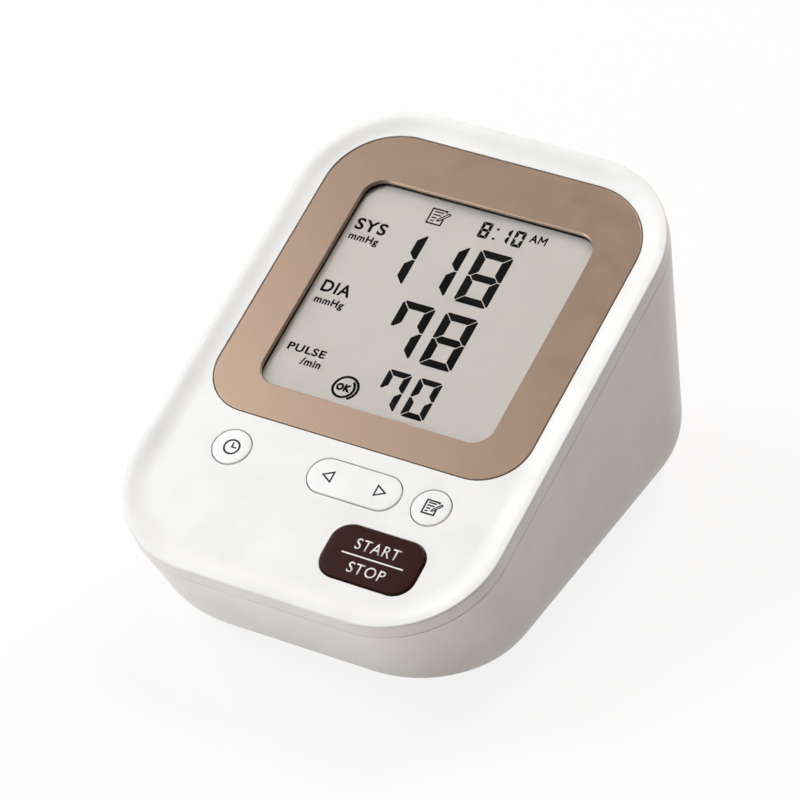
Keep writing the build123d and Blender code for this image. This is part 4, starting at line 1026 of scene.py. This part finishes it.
cell_film, nodes, links, shader = shader_of("cell_film")
place = nodes.new("ShaderNodeTexCoord")
axes = nodes.new("ShaderNodeSeparateXYZ")
ends = nodes.new("ShaderNodeMath")
ends.operation = "ABSOLUTE"
caps = nodes.new("ShaderNodeMath")
caps.operation = "GREATER_THAN"
caps.inputs[1].default_value = cell_end
links.new(place.outputs["Object"], axes.inputs["Vector"])
links.new(axes.outputs["X"], ends.inputs[0])
links.new(ends.outputs[0], caps.inputs[0])
links.new(blend(nodes, links, caps.outputs[0], tint(62, 92, 112), tint(196, 196, 198)),
          shader.inputs["Base Color"])
links.new(spread(nodes, links, noise(nodes, links, 2 * mm), 0.28, 0.36), shader.inputs["Roughness"])
shader.inputs["Metallic"].default_value = 0.8

finishes = {
    board_green: ["main_board"],
    chip_black: ["board_chips", "buzzer"],
    sensor_grey: ["pressure_sensor"],
    frame_grey: ["lcd_holder", "pump_frame", "pump_head", "drive_plate", "drive_crank", "air_tee"],
    silicone: ["keypad_mat", "diaphragm", "pump_tube", "jack_tube", "valve_tube", "sensor_tube"],
    black_rubber: ["contact_strips", "pump_cushion"],
    screw_zinc: ["board_screws"],
    spring_nickel: ["contact_plates", "battery_springs", "valve_spring"],
    shaft_steel: ["motor_shaft", "valve_plunger"],
    motor_tin: ["pump_motor"],
    valve_tin: ["release_valve"],
    cell_film: ["batteries"],
}
for material, names in finishes.items():
    for name in names:
        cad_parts[name].data.materials[0] = material

# ================================================================ floor, light and camera
# A plain pale floor that looks white and keeps the soft shadow, one large soft box high on the left, the
# strongest one high behind, a weak low one at the front left, and a camera above the front right corner.
floor_half = 6
floor_glow = 0.87

floor_material, nodes, links, shader = shader_of("floor_white")
shader.inputs["Base Color"].default_value = (0.82, 0.77, 0.75, 1)
shader.inputs["Roughness"].default_value = 0.9
shader.inputs["Specular IOR Level"].default_value = 0.1
glow = nodes.new("ShaderNodeEmission")
glow.inputs["Strength"].default_value = 1.0
rays = nodes.new("ShaderNodeLightPath")
seen = rays.outputs["Is Camera Ray"]
for kind in ("Is Glossy Ray", "Is Transmission Ray"):
    either = nodes.new("ShaderNodeMath")
    either.operation = "MAXIMUM"
    links.new(seen, either.inputs[0])
    links.new(rays.outputs[kind], either.inputs[1])
    seen = either.outputs[0]
share = nodes.new("ShaderNodeMath")
share.operation = "MULTIPLY"
share.inputs[1].default_value = floor_glow
links.new(seen, share.inputs[0])
both = nodes.new("ShaderNodeMixShader")
links.new(share.outputs[0], both.inputs["Fac"])
links.new(shader.outputs["BSDF"], both.inputs[1])
links.new(glow.outputs["Emission"], both.inputs[2])
links.new(both.outputs["Shader"], nodes["Material Output"].inputs["Surface"])

floor_bm = bmesh.new()
bmesh.ops.create_grid(floor_bm, x_segments=1, y_segments=1, size=floor_half)
floor_mesh = bpy.data.meshes.new("floor")
floor_bm.to_mesh(floor_mesh)
floor_bm.free()
floor_mesh.materials.append(floor_material)
floor = bpy.data.objects.new("floor", floor_mesh)
bpy.context.scene.collection.objects.link(floor)

world = bpy.data.worlds.new("studio")
bpy.context.scene.world = world
world.use_nodes = True
background = world.node_tree.nodes["Background"]
background.inputs["Color"].default_value = (1, 0.95, 0.92, 1)
background.inputs["Strength"].default_value = 0.05


def soft_box(name, place, target, width, height, power, colour):
    """Rectangular soft box that faces its target."""
    lamp = bpy.data.lights.new(name, "AREA")
    lamp.shape = "RECTANGLE"
    lamp.size = width
    lamp.size_y = height
    lamp.energy = power
    lamp.color = colour
    box = bpy.data.objects.new(name, lamp)
    box.location = place
    box.rotation_euler = (Vector(target) - Vector(place)).to_track_quat("-Z", "Y").to_euler()
    bpy.context.scene.collection.objects.link(box)


aim = (0, 0, 0.05)
soft_box("left_box", (-1.32, -0.31, 1.48), aim, 1.2, 1.2, 28, (0.94, 1, 1.08))
soft_box("back_box", (0.1, 1.3, 1.9), aim, 1.3, 1.3, 38, (1.06, 1, 0.94))
soft_box("front_box", (-1.36, -1.42, 0.5), aim, 0.9, 0.6, 13.5, (1.02, 1, 0.92))

camera_data = bpy.data.cameras.new("camera")
camera_data.lens = 198.2
camera_data.sensor_width = 36
camera_data.clip_start = 0.05
camera = bpy.data.objects.new("camera", camera_data)
camera.location = (0.526110, -0.832454, 0.788585)
look_at = Vector((-0.000313, -0.002563, 0.048950))
roll = Matrix.Rotation(radians(-4.372), 4, "Z")
look = (look_at - camera.location).to_track_quat("-Z", "Y").to_matrix().to_4x4() @ roll
camera.rotation_euler = look.to_euler()
bpy.context.scene.collection.objects.link(camera)
bpy.context.scene.camera = camera
bpy.context.scene.view_settings.view_transform = "Standard"
